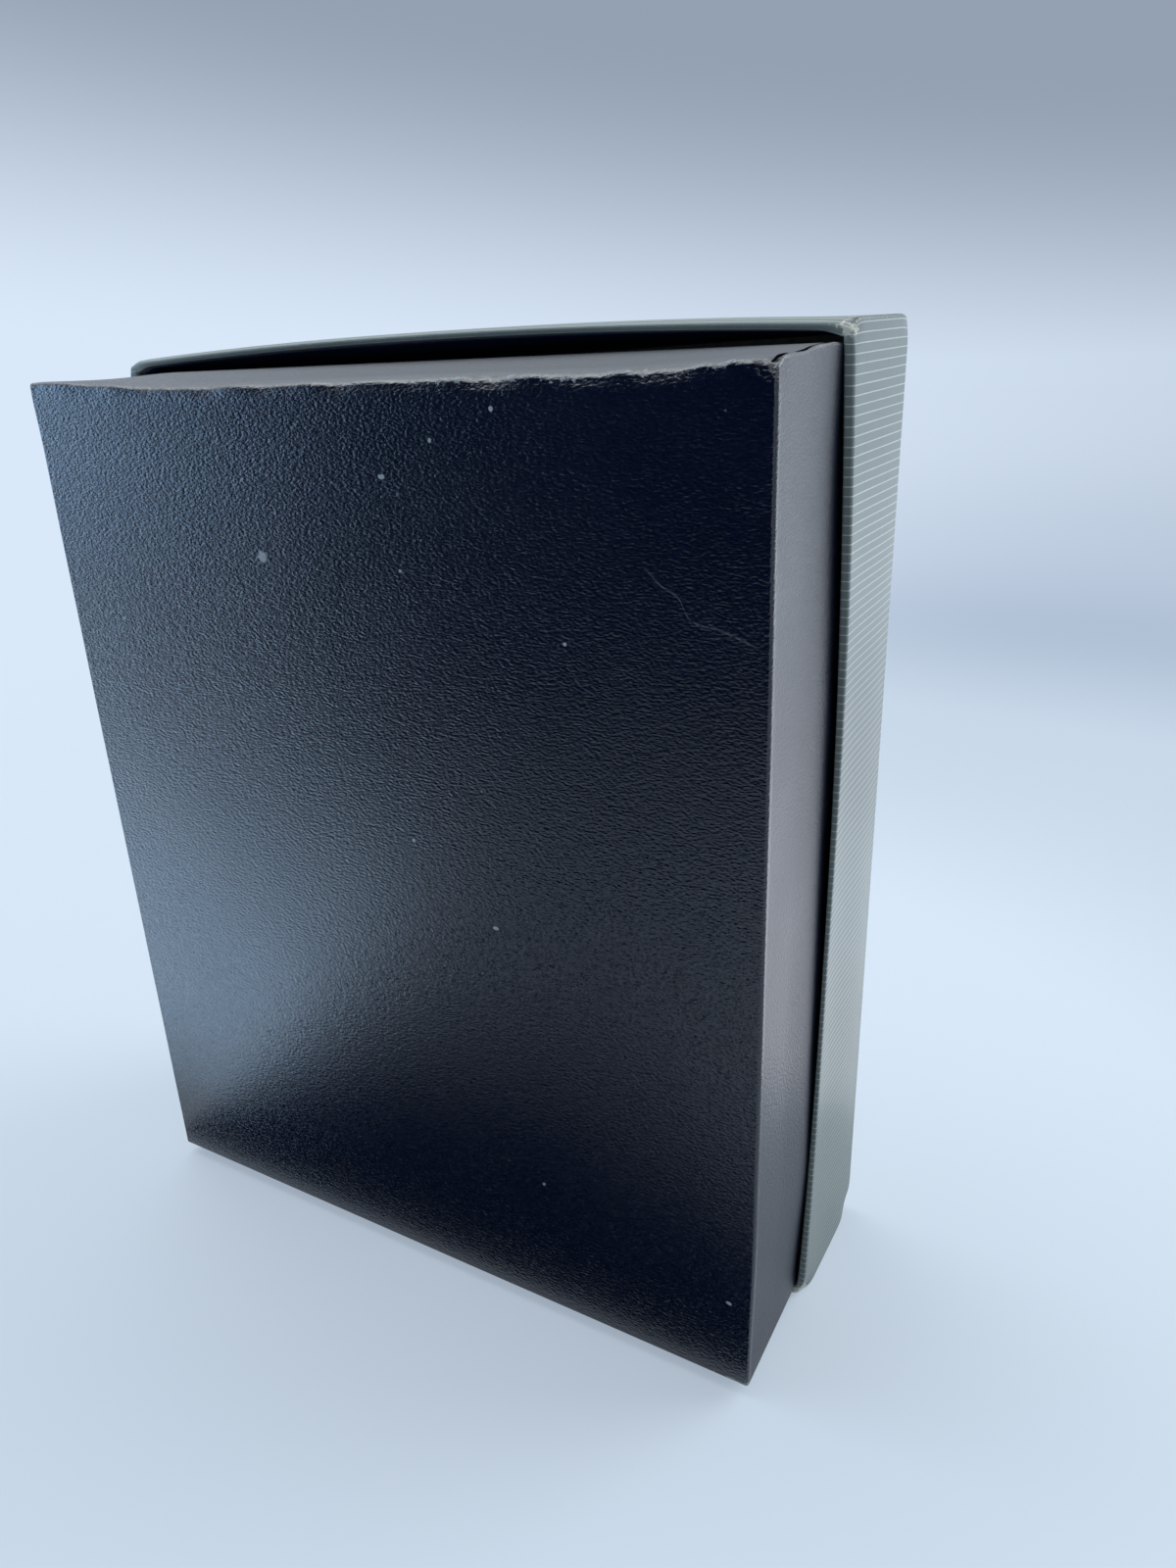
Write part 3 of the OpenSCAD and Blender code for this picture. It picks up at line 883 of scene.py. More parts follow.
def bendLid(points, under):
    look, tray = lidWear, traySizes["lid"]
    hx, hz, rim = tray["size"][0] / 2, tray["size"][1] / 2, tray["depth"]
    p = points.copy()
    x, z, d = p[:, 0], points[:, 2] - tray["mid"], tray["panel"] - points[:, 1]  # d is the depth from the panel
    p[:, 1] -= look["sink"] * np.clip((1 - (x / hx) ** 2) * (1 - (z / hz) ** 2), 0, 1) * between(d, 4.0, 0.0)
    # the top wall is squeezed thinner towards its rim
    inset = np.clip(hz + tray["bow"] * (1 - (x / hx) ** 2) * d / rim - z, 0, 3)
    p[:, 2] += look["squeeze"] * inset * between(d, rim - 9, rim - 1) * between(hx - np.abs(x), 1.0, 5.0)
    upper = between(inset, 1.4, 0.0) * between(d, rim - 2.6, rim) * between(z, hz - 4, hz - 1)
    p[:, 2] -= look["topRound"] * upper
    # the right wall is pressed in and thinner at its rim
    low = np.exp(-(((p[:, 2] - 55) / 45) ** 2))
    mouth = between(d, 4, rim - 2)
    outer = look["pressIn"] + (look["pressRim"] + look["pressLow"] * low) * mouth
    within = look["inside"][0] + look["inside"][1] * low * mouth
    deep = np.clip(hx + tray["bow"] * (1 - (z / hz) ** 2) * d / rim - x, 0, 2) / 2
    p[:, 0] -= (outer + (within - outer) * deep) * between(x, 20, 55)
    # its top back corner stands a little higher
    raised = look["cornerLift"][0] + look["cornerLift"][1] * np.clip(1 - d / rim, 0, 1)
    p[:, 2] += raised * between(x, -10, hx) * between(z, hz - 28, hz)
    for sx, sz, atRim, amount, width in look["pushed"]:
        push = amount * bell(farFrom(x - sx * hx, z - sz * hz, d - atRim * rim), width)
        p[:, 0] -= 0.62 * sx * push
        p[:, 2] -= 0.62 * sz * push
        p[:, 1] += (0.5 if atRim else -0.5) * push
    if under == 0:
        p[:, 2] -= look["foldDeep"] * lidFold(x, z, d, 0.25, 0.16)
    return p


def lidMarks(points):
    look, tray = lidWear, traySizes["lid"]
    hx, hz, rim = tray["size"][0] / 2, tray["size"][1] / 2, tray["depth"]
    x, z, d = points[:, 0], points[:, 2] - tray["mid"], tray["panel"] - points[:, 1]
    wear = look["edges"] * bell(np.abs(np.abs(x) - hx), 0.5) * bell(np.abs(np.abs(z) - hz), 0.5)
    for sx, sz, atRim, inwards, amount, width in look["rubbed"]:
        far = farFrom(x - sx * hx + inwards, z - sz * hz, d - atRim * rim)
        wear = np.maximum(wear, amount * bell(far, width))
    return {"wear": wear, "crack": lidFold(x, z, d, 0.4, 0.22)}


wrapArcs = {"corner": 8, "spacing": 1.35}
innerArcs = {"corner": 4, "spacing": 3.0}
bends = {"base": bendBase, "lid": bendLid}


def trayArcs(tray, look):
    spans = [size - 2 * traySizes["edgeRadius"] for size in tray["size"]]
    return {"corner": look["corner"], "stops": [sideStops(span, look["spacing"]) for span in spans]}


def dress(piece, body, slot, *nodes):
    if nodes:
        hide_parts(*nodes)
    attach(piece, body)
    return piece


def buildTapes(which):  # four thin strips in the glue layer, one round each corner
    tray = traySizes[which]
    arcs = trayArcs(tray, innerArcs)
    spans = [size - 2 * traySizes["edgeRadius"] for size in tray["size"]]
    shares = [traySizes["tapeReach"] / span for span in spans]
    reach = [sum(stop <= share for stop in stops) for stops, share in zip(arcs["stops"], shares)]
    across, along = sideCounts(arcs)
    half, size = arcs["corner"] // 2, 2 * (across + along)
    levels = np.linspace(traySizes["edgeRadius"] + 0.6, tray["depth"] - traySizes["edgeRadius"] - 0.4, 12)
    points, faces = [], []
    for k, start in enumerate((0, across, across + along, 2 * across + along)):
        before, after = reach[(k + 1) % 2], reach[k % 2]
        run = [(start + i) % size for i in range(-half - before, half + after + 1)]
        front, back = traySizes["tapeSkins"]
        rings = []
        for v in levels:
            rings += [trayRing(tray, front, v, arcs)[run], trayRing(tray, back, v, arcs)[run][::-1]]
        wide = 2 * len(run)
        for face in ringFaces(len(levels), wide, ends=True):
            if face[0] % wide >= len(run):  # the back's quads split along the front's diagonal
                face = face[1:] + face[:1]
            faces.append(tuple(len(points) + i for i in face[:: tray["way"]]))
        points += bends[which](np.vstack(rings), front).tolist()
    return meshPiece(which + "CornerTapes", points, faces, tapePaper)


def buildLining(which, lastV, lap):  # a closed sleeve of paper on the inside of the walls
    tray = traySizes[which]
    arcs = trayArcs(tray, innerArcs)
    levels = np.linspace(1.7, lastV, 14)
    inside = traySizes["wall"]
    rings = [trayRing(tray, inside + lap, v, arcs) for v in levels]
    rings += [trayRing(tray, inside - traySizes["paper"], v, arcs) for v in levels[::-1]]
    faces = [face[:: tray["way"]] for face in ringFaces(len(rings), len(rings[0]), closed=True)]
    return meshPiece(which + "WallLining", bends[which](np.vstack(rings), 2.0), faces, blackLining)


def buildTray(which, marks, paper, paperSlot, liningEnd, liningLap):
    tray, bend = traySizes[which], bends[which]
    layers = [wrapStations(tray["depth"], under) for under in (0.0, traySizes["paper"])]
    wrap = shellPiece(which + "PaperWrap", tray, layers, trayArcs(tray, wrapArcs), bend, paper, marks)
    dress(wrap, which, paperSlot, which + "_wrap")
    skin = traySizes["skin"]
    faceDepths = (skin + traySizes["hair"], skin + traySizes["board"])
    layers = [boardStations(tray["depth"], under) for under in faceDepths]
    board = shellPiece(which + "GreyBoard", tray, layers, trayArcs(tray, innerArcs), bend, greyBoard)
    dress(board, which, "greyboard", which + "_board")
    dress(buildTapes(which), which, "tape_paper", which + "_corner_tapes")
    dress(buildLining(which, liningEnd, liningLap), which, "black_lining", which + "_wall_lining")


buildTray("base", baseMarks, blackLeatherette, "leatherette_paper", 29.0, 0.0)
buildTray("lid", lidMarks, pinstripePaper, "pinstripe_paper", 22.6, 0.06)


# The inside: velvet, well, foam, ribbon, pillow and lid pad

print("dressing the inside")

insideMid = {name: traySizes[name]["mid"] for name in ("base", "lid")}  # heights of the middles, in millimetres
insertLook = {
    "size": (110.0, 132.5),
    "well": (82.0, 60.0),
    "top": 0.5,
    "skirtEnd": -8.6,
    "cloth": 0.5,
    "outerRound": 1.1,
    "wellRound": 1.3,
    "wellFloor": -18.5,
    "wellCloth": 0.45,
    "wellCorner": 2.2,
    "wellReach": 27.0,  # how far in the floor's innermost ring lies
}
arc = [(math.sin(a), math.cos(a)) for a in turnedQuarter(6)]


def insertRing(which, stops, inset, radius, y):  # round the insert or its well
    width, length = (side - 2 * inset for side in insertLook[which])
    return ringAt(roundedRing(width, length, radius, 6, stops), y, insideMid["base"])


def platformVelvet():
    look, stops = insertLook, evenStops(44, 52)
    outer = lambda *where: insertRing("size", stops, *where)
    inner = lambda *where: insertRing("well", stops, *where)
    top, bend, edge, cloth = look["top"], look["outerRound"], look["wellRound"], look["cloth"]
    rings = [outer(0.12 * bell(y + 5.0, 3.0), 1.2, y) for y in np.linspace(look["skirtEnd"], top - bend, 9)]
    for sine, cosine in arc[1:]:
        rings.append(outer(bend - bend * cosine, 1.2 - 0.5 * sine, top - bend + bend * sine))
    flatOuter, flatInner = outer(bend, 0.7, top), inner(-edge, 2.6, top)
    rings += [flatOuter + (flatInner - flatOuter) * (i / 16) for i in range(1, 16)]
    for sine, cosine in arc:
        rings.append(inner(-edge + edge * sine, 2.6 - 1.3 * sine, top - edge + edge * cosine))
    # back along the underside, one cloth thickness below
    rings += [inner(-cloth + 0.05, 1.5, top - edge), inner(-edge, 2.2, 0.05), outer(bend, 0.7, 0.05)]
    rings += [outer(cloth, 0.7, y) for y in (-0.6, look["skirtEnd"])]
    points = np.vstack(rings)
    points[:, 1] += 0.10 * wavy(points * (1, 0.2, 1), 0.05, 9, 2) * between(points[:, 1], top - 0.4, top)
    faces = ringFaces(len(rings), len(rings[0]), closed=True)
    return meshPiece("platformVelvetCover", points, faces, ivoryVelvet, sharp=50)


def wellLining():
    look, stops = insertLook, evenStops(44, 32)
    ring = lambda *where: insertRing("well", stops, *where)
    corner, cloth, floor, reach = look["wellCorner"], look["wellCloth"], look["wellFloor"], look["wellReach"]
    rim = look["top"] - look["wellRound"] - 0.08
    rings = [ring(inset, 2.0, floor - cloth) for inset in (reach, 14.0, 3.0)]
    rings += [ring(-cloth, 1.6, y) for y in (floor - cloth, rim)]
    rings += [ring(-0.12, 1.4, rim), ring(0.0, 1.3, rim - 0.15)]
    rings += [ring(0.0, 1.3, y) for y in np.linspace(rim - 0.8, floor + corner, 9)]
    for sine, cosine in arc[1:]:
        rings.append(ring(corner - corner * cosine, 1.3 + 0.9 * sine, floor + corner - corner * sine))
    rings += [ring(corner + (reach - corner) * i / 12, 2.0, floor) for i in range(1, 12)]
    size, count = len(rings[0]), len(rings) * len(rings[0])
    faces = ringFaces(len(rings), size) + [tuple(range(count - size, count)), tuple(range(size))]
    return meshPiece("wellVelvetLining", np.vstack(rings), faces, ivoryVelvet, sharp=50)


def roundedBlock(name, size, middle, radius, cuts, power, material, roughen=None):
    # a closed block in millimetres, with its points closer together towards the edges
    cells = bmesh.new()
    bmesh.ops.create_cube(cells, size=2.0)
    bmesh.ops.subdivide_edges(cells, edges=cells.edges[:], cuts=cuts, use_grid_fill=True)
    points, half = np.array([v.co for v in cells.verts]), np.array(size) / 2
    square = np.sign(points) * (1 - (1 - np.abs(points)) ** power) * half
    core = np.clip(square, -(half - radius), half - radius)
    out = square - core
    length = np.linalg.norm(out, axis=1, keepdims=True)
    placed = core + out * np.minimum(1.0, radius / np.maximum(length, 1e-9))
    if roughen:
        placed = roughen(placed, out)
    for vert, place in zip(cells.verts, (placed + np.array(middle)) * mm):
        vert.co = place
    bmesh.ops.recalc_face_normals(cells, faces=cells.faces[:])
    mesh = bpy.data.meshes.new(name)
    cells.to_mesh(mesh)
    cells.free()
    mesh.materials.append(material)
    mesh.shade_smooth()
    return link(name, mesh)


foamLook = {
    "size": (107.0, 18.5, 16.0),
    "place": (-10.25, 56.75),  # y, and how far above or below the insert's middle
    "round": 0.8,
    "shrink": 0.0035,
    "ragged": 0.10,
}


def foamBlock(name, side):  # cut by hand: slightly wavy faces with soft edges
    look = foamLook

    def roughen(placed, out):
        wave = wavy(placed, 0.09, 21 + side, 3)[:, None]
        fine = wavy(placed, 0.9, 33 + side, 2)[:, None]
        ragged = np.sign(out) * look["ragged"] * (0.5 + 0.5 * fine)
        return placed * (1 - look["shrink"] * (1 + wave)) - ragged

    middle = (0.0, look["place"][0], insideMid["base"] + side * look["place"][1])
    return roundedBlock(name, look["size"], middle, look["round"], 11, 1.5, greyFoam, roughen)


ribbonLook = {"width": 10.0, "thick": 0.35, "rows": 12, "stations": 90, "cup": 0.10}
# Its middle line, as y and height above the insert's middle: tail under the card, slit, tab on the velvet
ribbonLine = [
    (-1.22, 33.4), (-1.22, 38.0), (-1.22, 42.5), (-1.2, 45.4), (-1.0, 46.5),
    (-0.5, 46.95), (0.1, 46.98), (0.6, 47.25), (0.85, 48.1), (0.80, 50.0),
    (0.74, 53.0), (0.84, 56.5), (1.02, 60.0), (0.86, 63.0), (0.72, 64.7),
]


def liftRibbon():
    look, line = ribbonLook, np.array(ribbonLine)
    steps = np.concatenate([[0.0], np.cumsum(np.linalg.norm(np.diff(line, axis=0), axis=1))])
    want = np.linspace(0, steps[-1], look["stations"])
    path = np.column_stack([np.interp(want, steps, line[:, i]) for i in (0, 1)])
    for _ in range(6):  # rounds the corners of the line
        path[1:-1] = (path[:-2] + 2 * path[1:-1] + path[2:]) / 4
    along = np.gradient(path, axis=0)
    along /= np.linalg.norm(along, axis=1)[:, None]
    normal = np.column_stack([along[:, 1], -along[:, 0]])
    share = np.linspace(0, 1, look["rows"] + 1)
    points, flat = [], []
    for i, length in enumerate(want):
        for side, row in ((0.5, share), (-0.5, share[::-1])):
            y, z = path[i] + normal[i] * look["thick"] * side
            for j in row:
                cup = look["cup"] * (2 * j - 1) ** 2 * between(length, 14.0, 20.0)
                points.append((look["width"] * (j - 0.5), y + cup, z + insideMid["base"]))
                flat.append((look["width"] * j, length))
    half, wide = len(share), 2 * len(share)
    faces = ringFaces(len(want), wide, ends=True)
    uv = []
    for face in faces:
        thin = (face[0] % wide < half) != (face[2] % wide < half)  # joins the front to the back
        uv += [flat[index] for index in (face[:1] * 4 if thin else face)]
    return meshPiece("liftRibbon", points, faces, ribbonCloth, uv, "cloth", sharp=50), steps[-1]


padLook = {
    # size x and z, from and to in y, middle height, corner radius, voxel, pressure, most a point may move
    "pillow": {"size": (77.6, 55.6), "y": (-17.6, 2.2), "mid": insideMid["base"], "radius": 8.0,
               "voxel": 1.7, "pressure": 4.0, "cap": 2.6},
    "pad": {"size": (103.6, 126.1), "y": (15.4, 20.3), "mid": insideMid["lid"], "radius": 1.4,
            "voxel": 1.45, "pressure": 2.2, "cap": 1.3},
    "enlarge": 10.0,  # the cloth solver works on shapes of furniture size
    "frames": 20,
    "stiffness": 12.0,
    "shrink": -0.06,  # a little more cloth than the shape needs
}


def softBlock(name, look, material):  # the closed form that the padding starts from
    low, high = look["y"]
    size, middle = (look["size"][0], high - low, look["size"][1]), (0.0, (low + high) / 2, look["mid"])
    return roundedBlock(name, size, middle, look["radius"], 15, 1.4, material)


def plainCopy(piece):  # the mesh as its modifiers leave it
    graph = bpy.context.evaluated_depsgraph_get()
    shown = piece.evaluated_get(graph)
    return bpy.data.meshes.new_from_object(shown, preserve_all_data_layers=True, depsgraph=graph)


def swapMesh(piece, mesh):
    old = piece.data
    piece.modifiers.clear()
    piece.data = mesh
    bpy.data.meshes.remove(old)


def puffUp(piece, look, isPinned):
    big = padLook["enlarge"]
    piece.data.transform(Matrix.Scale(big, 4))
    remesh = piece.modifiers.new("remesh", "REMESH")
    remesh.mode = "VOXEL"
    remesh.voxel_size = look["voxel"] * mm * big
    swapMesh(piece, plainCopy(piece))
    start = np.array([v.co for v in piece.data.vertices])
    pinned = [i for i, place in enumerate(start / big / mm) if isPinned(place)]
    cloth = piece.modifiers.new("cloth", "CLOTH")
    settings = cloth.settings
    settings.quality = 6
    settings.mass = 0.2
    settings.tension_stiffness = settings.compression_stiffness = padLook["stiffness"]
    settings.bending_stiffness = 0.4
    settings.shrink_min = padLook["shrink"]
    settings.use_pressure = True
    settings.uniform_pressure_force = look["pressure"]
    settings.effector_weights.gravity = 0.0
    cloth.collision_settings.use_collision = False
    cloth.point_cache.frame_start, cloth.point_cache.frame_end = 1, padLook["frames"]
    if pinned:
        group = piece.vertex_groups.new(name="glued")
        group.add(pinned, 1.0, "REPLACE")
        settings.vertex_group_mass = "glued"
    for frameNumber in range(1, padLook["frames"] + 1):
        scene.frame_set(frameNumber)
    swapMesh(piece, plainCopy(piece))
    piece.vertex_groups.clear()
    scene.frame_set(1)
    moved = np.array([v.co for v in piece.data.vertices]) - start
    far = np.linalg.norm(moved, axis=1, keepdims=True)
    kept = start + moved * np.minimum(1.0, look["cap"] * mm * big / np.maximum(far, 1e-9))
    piece.data.vertices.foreach_set("co", (kept / big).astype(np.float32).ravel())
    piece.data.update()


def smoothOnce(piece):
    subdivide = piece.modifiers.new("smooth", "SUBSURF")
    subdivide.levels = subdivide.render_levels = 1
    swapMesh(piece, plainCopy(piece))
    piece.data.shade_smooth()


def reshape(piece, change):  # moves the vertices, in millimetres
    points = np.array([v.co for v in piece.data.vertices]) / mm
    piece.data.vertices.foreach_set("co", (change(points) * mm).astype(np.float32).ravel())
    piece.data.update()


def softClamp(value, low, high, give=0.5):  # presses a shape against the walls of its space
    value = np.where(value > high - give, high - give * np.exp(-(value - high + give) / give), value)
    return np.where(value < low + give, low + give * np.exp(-(low + give - value) / give), value)


seamLook = {"y": -7.2, "deep": 0.75, "wide": 0.75, "spacing": 2.3, "length": 1.7, "thread": 0.42, "lean": 0.42}
pillowLook = {
    "form": (40, 29),  # half sizes in x and z
    "seamFrom": (40.1, 29.1),
    "dip": 0.9,  # where the strap lies
    "pulls": 0.35,  # towards the corners
    "room": ((-40.6, 40.6), (-18.42, 5.2), (-29.6, 29.6)),  # x, y, z
}


def pillowShape(points):
    mid = padLook["pillow"]["mid"]
    x, y, z = points[:, 0], points[:, 1], points[:, 2] - mid
    look = pillowLook
    halfX, halfZ = look["form"]
    seamX, seamZ = look["seamFrom"]
    roomX, roomY, roomZ = look["room"]
    seam = seamLook["deep"] * bell(y - seamLook["y"], seamLook["wide"])
    seam *= between(np.maximum(np.abs(x) / seamX, np.abs(z) / seamZ), 0.80, 0.93)
    reach = np.maximum(np.sqrt(x ** 2 + z ** 2), 1e-6)
    points[:, 0] -= x / reach * seam
    points[:, 2] -= z / reach * seam
    crown = np.clip(1 - (x / halfX) ** 2, 0, 1) * np.clip(1 - (z / halfZ) ** 2, 0, 1)
    pulls = look["pulls"] * wavy(points * (1, 0.3, 1), 0.075, 15, 3) * (1 - 0.5 * crown)
    points[:, 1] += between(y, -4.0, 1.5) * (look["dip"] * crown + pulls)
    points[:, 0] = softClamp(points[:, 0], *roomX)
    points[:, 2] = softClamp(points[:, 2] - mid, *roomZ) + mid
    points[:, 1] = softClamp(points[:, 1], *roomY, 0.8)
    return points


padFolds = {
    "form": (52.5, 63.75),  # half sizes in x and z
    "pulls": 0.09,
    "waves": 0.16,
    "room": ((-52.7, 52.7), (14.0, 20.4), (-63.95, 63.95)),
}


def padShape(points):
    mid = padLook["pad"]["mid"]
    x, z = points[:, 0], points[:, 2] - mid
    look = padFolds
    roomX, roomY, roomZ = look["room"]
    insideX, insideZ = look["form"][0] - np.abs(x), look["form"][1] - np.abs(z)
    pulls = np.sin(x * 0.42 + 1.5 * np.sin(z * 0.05)) * between(insideZ, 14, 2)
    pulls += np.sin(z * 0.38 + 2.0 * np.sin(x * 0.06)) * between(insideX, 14, 2)
    front = between(points[:, 1], 18.0, 16.0) * between(np.minimum(insideX, insideZ), 0.5, 3.5)
    waves = look["waves"] * wavy(points * (1, 0, 1), 0.03, 27, 3)
    points[:, 1] += front * (look["pulls"] * pulls + waves)
    points[:, 0] = softClamp(points[:, 0], *roomX, 0.3)
    points[:, 2] = softClamp(points[:, 2] - mid, *roomZ, 0.3) + mid
    points[:, 1] = np.clip(points[:, 1], *roomY)
    return points


def foamCore(name, source, share, mid):  # the filling: the cover's form, a little smaller
    mesh = source.data.copy()
    mesh.name = name
    piece = link(name, mesh)
    thin = piece.modifiers.new("fewer", "DECIMATE")
    thin.ratio = 0.15
    swapMesh(piece, plainCopy(piece))
    reshape(piece, lambda p: (p - mid) * share + mid)
    piece.data.materials.clear()
    piece.data.materials.append(whiteFoam)
    return piece


def newTree(name, inputs):  # a geometry tree with its geometry sockets and named sizes
    tree = bpy.data.node_groups.new(name, "GeometryNodeTree")
    tree.interface.new_socket("Geometry", in_out="INPUT", socket_type="NodeSocketGeometry")
    for label, value in inputs:
        tree.interface.new_socket(label, in_out="INPUT", socket_type="NodeSocketFloat").default_value = value
    tree.interface.new_socket("Geometry", in_out="OUTPUT", socket_type="NodeSocketGeometry")
    return tree, tree.nodes.new("NodeGroupInput").outputs, tree.nodes.new("NodeGroupOutput").inputs


def growPiece(name, guide, tree, values):
    # runs a geometry tree on a guide object and keeps the result as a plain mesh
    modifier = guide.modifiers.new(name, "NODES")
    modifier.node_group = tree
    for item in tree.interface.items_tree:
        if item.item_type == "SOCKET" and item.in_out == "INPUT" and item.name in values:
            modifier[item.identifier] = values[item.name]
    mesh = plainCopy(guide)
    mesh.name = name
    bpy.data.objects.remove(guide)
    mesh.shade_smooth()
    return link(name, mesh)


def stitchTree(material):
    sizes = [("Spacing", 0.0023), ("Length", 0.0017), ("Thread", 0.0004), ("Lean", 0.4)]
    tree, takes, gives = newTree("seam stitches", sizes)
    n = nodeCalls(tree)
    half, thread = n.over(takes["Length"], 2.0), n.over(takes["Thread"], 2.0)
    sockets = {"Curve": takes["Geometry"], "Length": takes["Spacing"]}
    spots = n.add("GeometryNodeCurveToPoints", sockets, mode="LENGTH").outputs
    ball = n.add("GeometryNodeMeshUVSphere", {"Segments": 8, "Rings": 6, "Radius": 1.0}).outputs["Mesh"]
    size = n.add("ShaderNodeCombineXYZ", {"X": thread, "Y": thread, "Z": half}).outputs["Vector"]
    grown = n.add("GeometryNodeTransform", {"Geometry": ball, "Scale": size}).outputs["Geometry"]
    lean = n.add("ShaderNodeCombineXYZ", {"X": takes["Lean"]}).outputs["Vector"]
    tilt = n.add("FunctionNodeEulerToRotation", {"Euler": lean}).outputs["Rotation"]
    sockets = {"Rotation": spots["Rotation"], "Rotate By": tilt}
    turned = n.add("FunctionNodeRotateRotation", sockets, rotation_space="LOCAL").outputs["Rotation"]
    sockets = {"Points": spots["Points"], "Instance": grown, "Rotation": turned}
    placed = n.add("GeometryNodeInstanceOnPoints", sockets).outputs["Instances"]
    real = n.add("GeometryNodeRealizeInstances", {"Geometry": placed}).outputs["Geometry"]
    painted = n.add("GeometryNodeSetMaterial", {"Geometry": real, "Material": material})
    tree.links.new(painted.outputs["Geometry"], gives["Geometry"])
    return tree


def guideCurve(name, points):  # a closed line
    data = bpy.data.curves.new(name, "CURVE")
    data.dimensions = "3D"
    line = data.splines.new("POLY")
    line.points.add(len(points) - 1)
    for spot, place in zip(line.points, points):
        spot.co = (*place, 1.0)
    line.use_cyclic_u = True
    return link(name, data)


def seamPath(piece, count):  # where the pillow's skin lies at the seam's height
    skin = BVHTree.FromPolygons([v.co for v in piece.data.vertices], [p.vertices for p in piece.data.polygons])
    middle = Vector((0.0, seamLook["y"], insideMid["base"])) * mm
    path = []
    for i in range(count):
        a = 2 * math.pi * i / count
        way = Vector((math.cos(a), 0.0, math.sin(a)))
        hit = skin.ray_cast(middle + way * 0.2, -way)[0]
        if hit is not None:
            path.append(hit + way * 0.00004)
    return path


dress(platformVelvet(), "insert", "velvet", "platform_velvet")
dress(wellLining(), "insert", "velvet", "well_lining")
for name, side in (("upper", 1), ("lower", -1)):
    block = dress(foamBlock(name + "FoamBlock", side), "insert", "foam", name + "_foam_block")
ribbon, ribbonLength = liftRibbon()
dress(ribbon, "insert", "ribbon", "lift_ribbon")

print("puffing up the pillow and the lid pad")
pillow = softBlock("pillowCover", padLook["pillow"], ivoryVelvet)
puffUp(pillow, padLook["pillow"], lambda place: False)
smoothOnce(pillow)
reshape(pillow, pillowShape)
pillowCore = foamCore("pillowFoam", pillow, 0.95, np.array([0.0, -7.5, insideMid["base"]]))
stitchSizes = {label.title(): seamLook[label] * mm for label in ("spacing", "length", "thread")}
stitchSizes["Lean"] = seamLook["lean"]
seam = guideCurve("seamGuide", seamPath(pillow, 360))
stitches = growPiece("pillowStitches", seam, stitchTree(ivorySatin), stitchSizes)
dress(pillow, "pillow", "velvet", "pillow_cover")
dress(pillowCore, "pillow", "foam", "pillow_foam")
dress(stitches, "pillow", "satin")

pad = softBlock("lidPadCover", padLook["pad"], ivorySatin)
puffUp(pad, padLook["pad"], lambda place: place[1] > 19.3)
smoothOnce(pad)
reshape(pad, padShape)
padCore = foamCore("lidPadFoam", pad, 0.93, np.array([0.0, 17.7, insideMid["lid"]]))
dress(pad, "lid", "satin", "lid_pad_cover")
dress(padCore, "lid", "foam", "lid_pad_foam")


splitLook = {"from": 0.3, "to": 20.5, "count": 44, "wide": 0.19, "lift": 0.06, "deep": 0.10}


def splitShadeSliver():  # a dull black sliver that lies in the split of the base's wrap: painted shade for the split's dark inside
    look, tray = splitLook, traySizes["base"]
    v, t = np.linspace(look["from"], look["to"], look["count"]), np.linspace(0, 1, look["count"])
    top = np.full(len(v), tray["mid"] + tray["size"][1] / 2)
    middle = np.column_stack([splitMiddle(v), tray["panel"] + v, top])
    width = look["wide"] * (0.45 + 0.9 * between(t, 0.0, 0.22) * between(t, 0.75, 0.30))
    width *= between(t, 1.0, 0.85) * between(t, 0.0, 0.04)
    edges = []
    for side in (-1, 1):
        edge = middle.copy()
        rag = wavy(middle * (0, 1, 0), 0.9, 5 + side, 4)
        edge[:, 0] += side * (width * (1 + 0.6 * rag) + 0.004)
        edges.append(bendBase(edge, 0.05))
    left, right = edges
    up, down = (0, 0, look["lift"]), (0, 0, -look["deep"])
    rings = np.stack([left + up, right + up, right + down, left + down], axis=1).reshape(-1, 3)
    return meshPiece("baseSplitShadow", rings, ringFaces(look["count"], 4, ends=True), splitShadeBlack, sharp=50)


dress(splitShadeSliver(), "base", "leatherette_paper")


# The CAD nodes that keep their shape

keptNodes = {
    "base_floor_lining": blackLining,
    "lid_pad_card": whiteCard,
    "platform_card": whiteCard,
    "well_card": whiteCard,
}
for nodeName, material in keptNodes.items():
    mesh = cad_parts[nodeName].data
    mesh.materials.clear()
    mesh.materials.append(material)


print("setting up the studio")


def seenDirectly(n):  # 1 for the camera, and for what metal and glass show
    path = n.add("ShaderNodeLightPath").outputs
    return n.largest(path["Is Camera Ray"], n.largest(path["Is Glossy Ray"], path["Is Transmission Ray"]))


def solid(colour):
    return (*colour, 1)


def addSheets():
    # dark sheets that paint dark reflections and glowing cards that paint bright ones; only reflections see
    # them
    dull = {"Base_Color": solid(studio["flagColour"]), "Specular_IOR_Level": 0.0}
    dark = startMaterial("dark cloth", Roughness=1.0, **dull)[0]
    sheets = [(dark, corners) for corners in studio["flags"]]
    for level, colour, corners in studio["cards"]:
        glow = {"Emission_Color": solid(colour), "Emission_Strength": level}
        sheets.append((startMaterial("pale card", Roughness=1.0, **glow)[0], corners))
    for i, (material, corners) in enumerate(sheets):
        mesh = bpy.data.meshes.new("studioSheet%d" % i)
        mesh.from_pydata(corners, [], [tuple(range(len(corners)))])
        mesh.materials.append(material)
        sheet = link(mesh.name, mesh)
        sheet.visible_camera = sheet.visible_diffuse = sheet.visible_shadow = sheet.visible_transmission = False


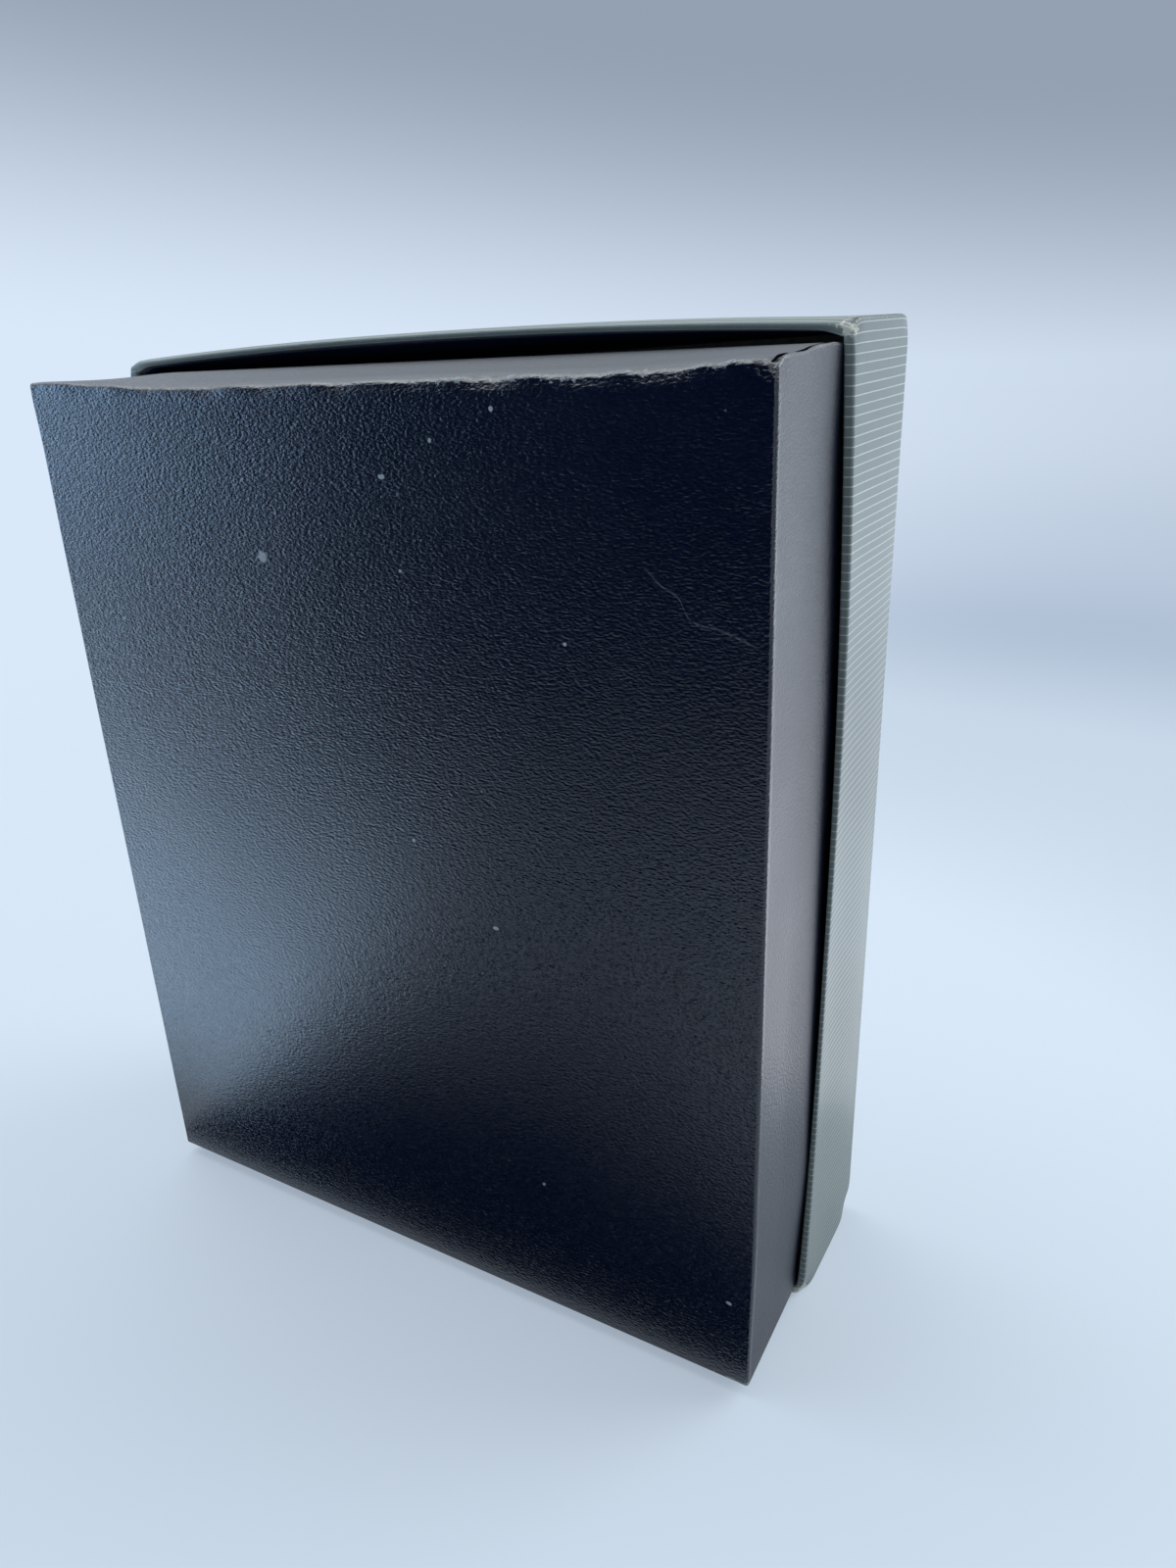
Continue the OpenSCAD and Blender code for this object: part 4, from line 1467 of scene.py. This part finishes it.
def addFloor():
    reach = studio["floorSize"] / 2
    mesh = bpy.data.meshes.new("floor")
    corners = [(sx * reach, sy * reach, 0) for sx, sy in ((-1, -1), (1, -1), (1, 1), (-1, 1))]
    mesh.from_pydata(corners, [], [(0, 1, 2, 3)])
    material = bpy.data.materials.new("pale floor")
    material.use_nodes = True
    n = nodeCalls(material.node_tree)
    n.tree.nodes.clear()
    place = n.place()
    far = n.add("ShaderNodeVectorMath", {0: place}, operation="LENGTH").outputs["Value"]
    plain = n.add("ShaderNodeBsdfDiffuse", {"Color": solid(studio["floorColour"])})
    outward = n.add("ShaderNodeVectorMath", {0: place}, operation="NORMALIZE").outputs["Vector"]
    sockets = {0: outward, 1: studio["rightWay"]}
    toRight = n.add("ShaderNodeVectorMath", sockets, operation="DOT_PRODUCT").outputs["Value"]
    # far off to the right, the floor's backdrop is painted darker
    backdrop = n.ramp(n.times(toRight, Vector(studio["shadeWay"]).xy.length), -0.03, 0.25)
    backdrop = n.times(backdrop, n.ramp(far, 0.1, 1.0))
    near = n.over(1.0, n.largest(far, 0.01))
    behind = n.times(n.ramp(near, 0.3, 2.4), n.ramp(near, 7.5, 2.8))
    behind = n.times(behind, n.ramp(toRight, -0.2, 0.6))
    paint = n.mix(backdrop, solid(studio["backColour"]), solid(studio["highColour"]))
    away = n.add("ShaderNodeEmission", {"Color": n.mix(behind, paint, solid(studio["shadeColour"]))})
    plainly = n.largest(n.ramp(far, 0.12, 0.55), studio["floorSeen"])
    share = n.largest(n.ramp(far, 0.22, 1.2), n.times(seenDirectly(n), plainly))
    mixed = n.add("ShaderNodeMixShader", {0: share, 1: plain.outputs["BSDF"], 2: away.outputs["Emission"]})
    n.add("ShaderNodeOutputMaterial", {"Surface": mixed.outputs["Shader"]})
    mesh.materials.append(material)
    floor = link("floor", mesh)


def addRoom():
    world = bpy.data.worlds.new("soft room")
    world.use_nodes = True
    scene.world = world
    n = nodeCalls(world.node_tree)
    n.tree.nodes.clear()
    way = n.add("ShaderNodeTexCoord").outputs["Generated"]
    apart = n.apart(way)
    front, back, left, overhead = studio["roomLevels"]
    level = n.plus(n.ramp(apart["Y"], -0.55, 0.45, front, back), n.ramp(apart["X"], -0.35, -0.95, 0.0, left))
    level = n.plus(level, n.ramp(apart["Z"], 0.35, 0.95, 0.0, overhead))
    room = n.add("ShaderNodeBackground", {"Color": solid(studio["roomColour"]), "Strength": level})
    sockets = {0: way, 1: (*studio["shadeWay"][:2], 0.0)}
    level = n.add("ShaderNodeVectorMath", sockets, operation="DOT_PRODUCT").outputs["Value"]
    # the backdrop painted darker higher up and towards the right
    height = n.ramp(n.plus(level, n.largest(apart["Z"], 0.0)), -0.03, 0.25)
    sky = n.mix(height, solid(studio["backColour"]), solid(studio["highColour"]))
    sky = n.mix(n.ramp(apart["Z"], 0.28, 0.46), sky, solid(studio["overheadColour"]))
    seen = n.add("ShaderNodeBackground", {"Color": sky, "Strength": 1.0})
    sockets = {0: seenDirectly(n), 1: room.outputs["Background"], 2: seen.outputs["Background"]}
    mixed = n.add("ShaderNodeMixShader", sockets)
    n.add("ShaderNodeOutputWorld", {"Surface": mixed.outputs["Shader"]})


addCamera(cameraLook)
addFloor()
addRoom()
for lamp in studio["lamps"]:
    addLamp(*lamp)
addSheets()

print("finished")
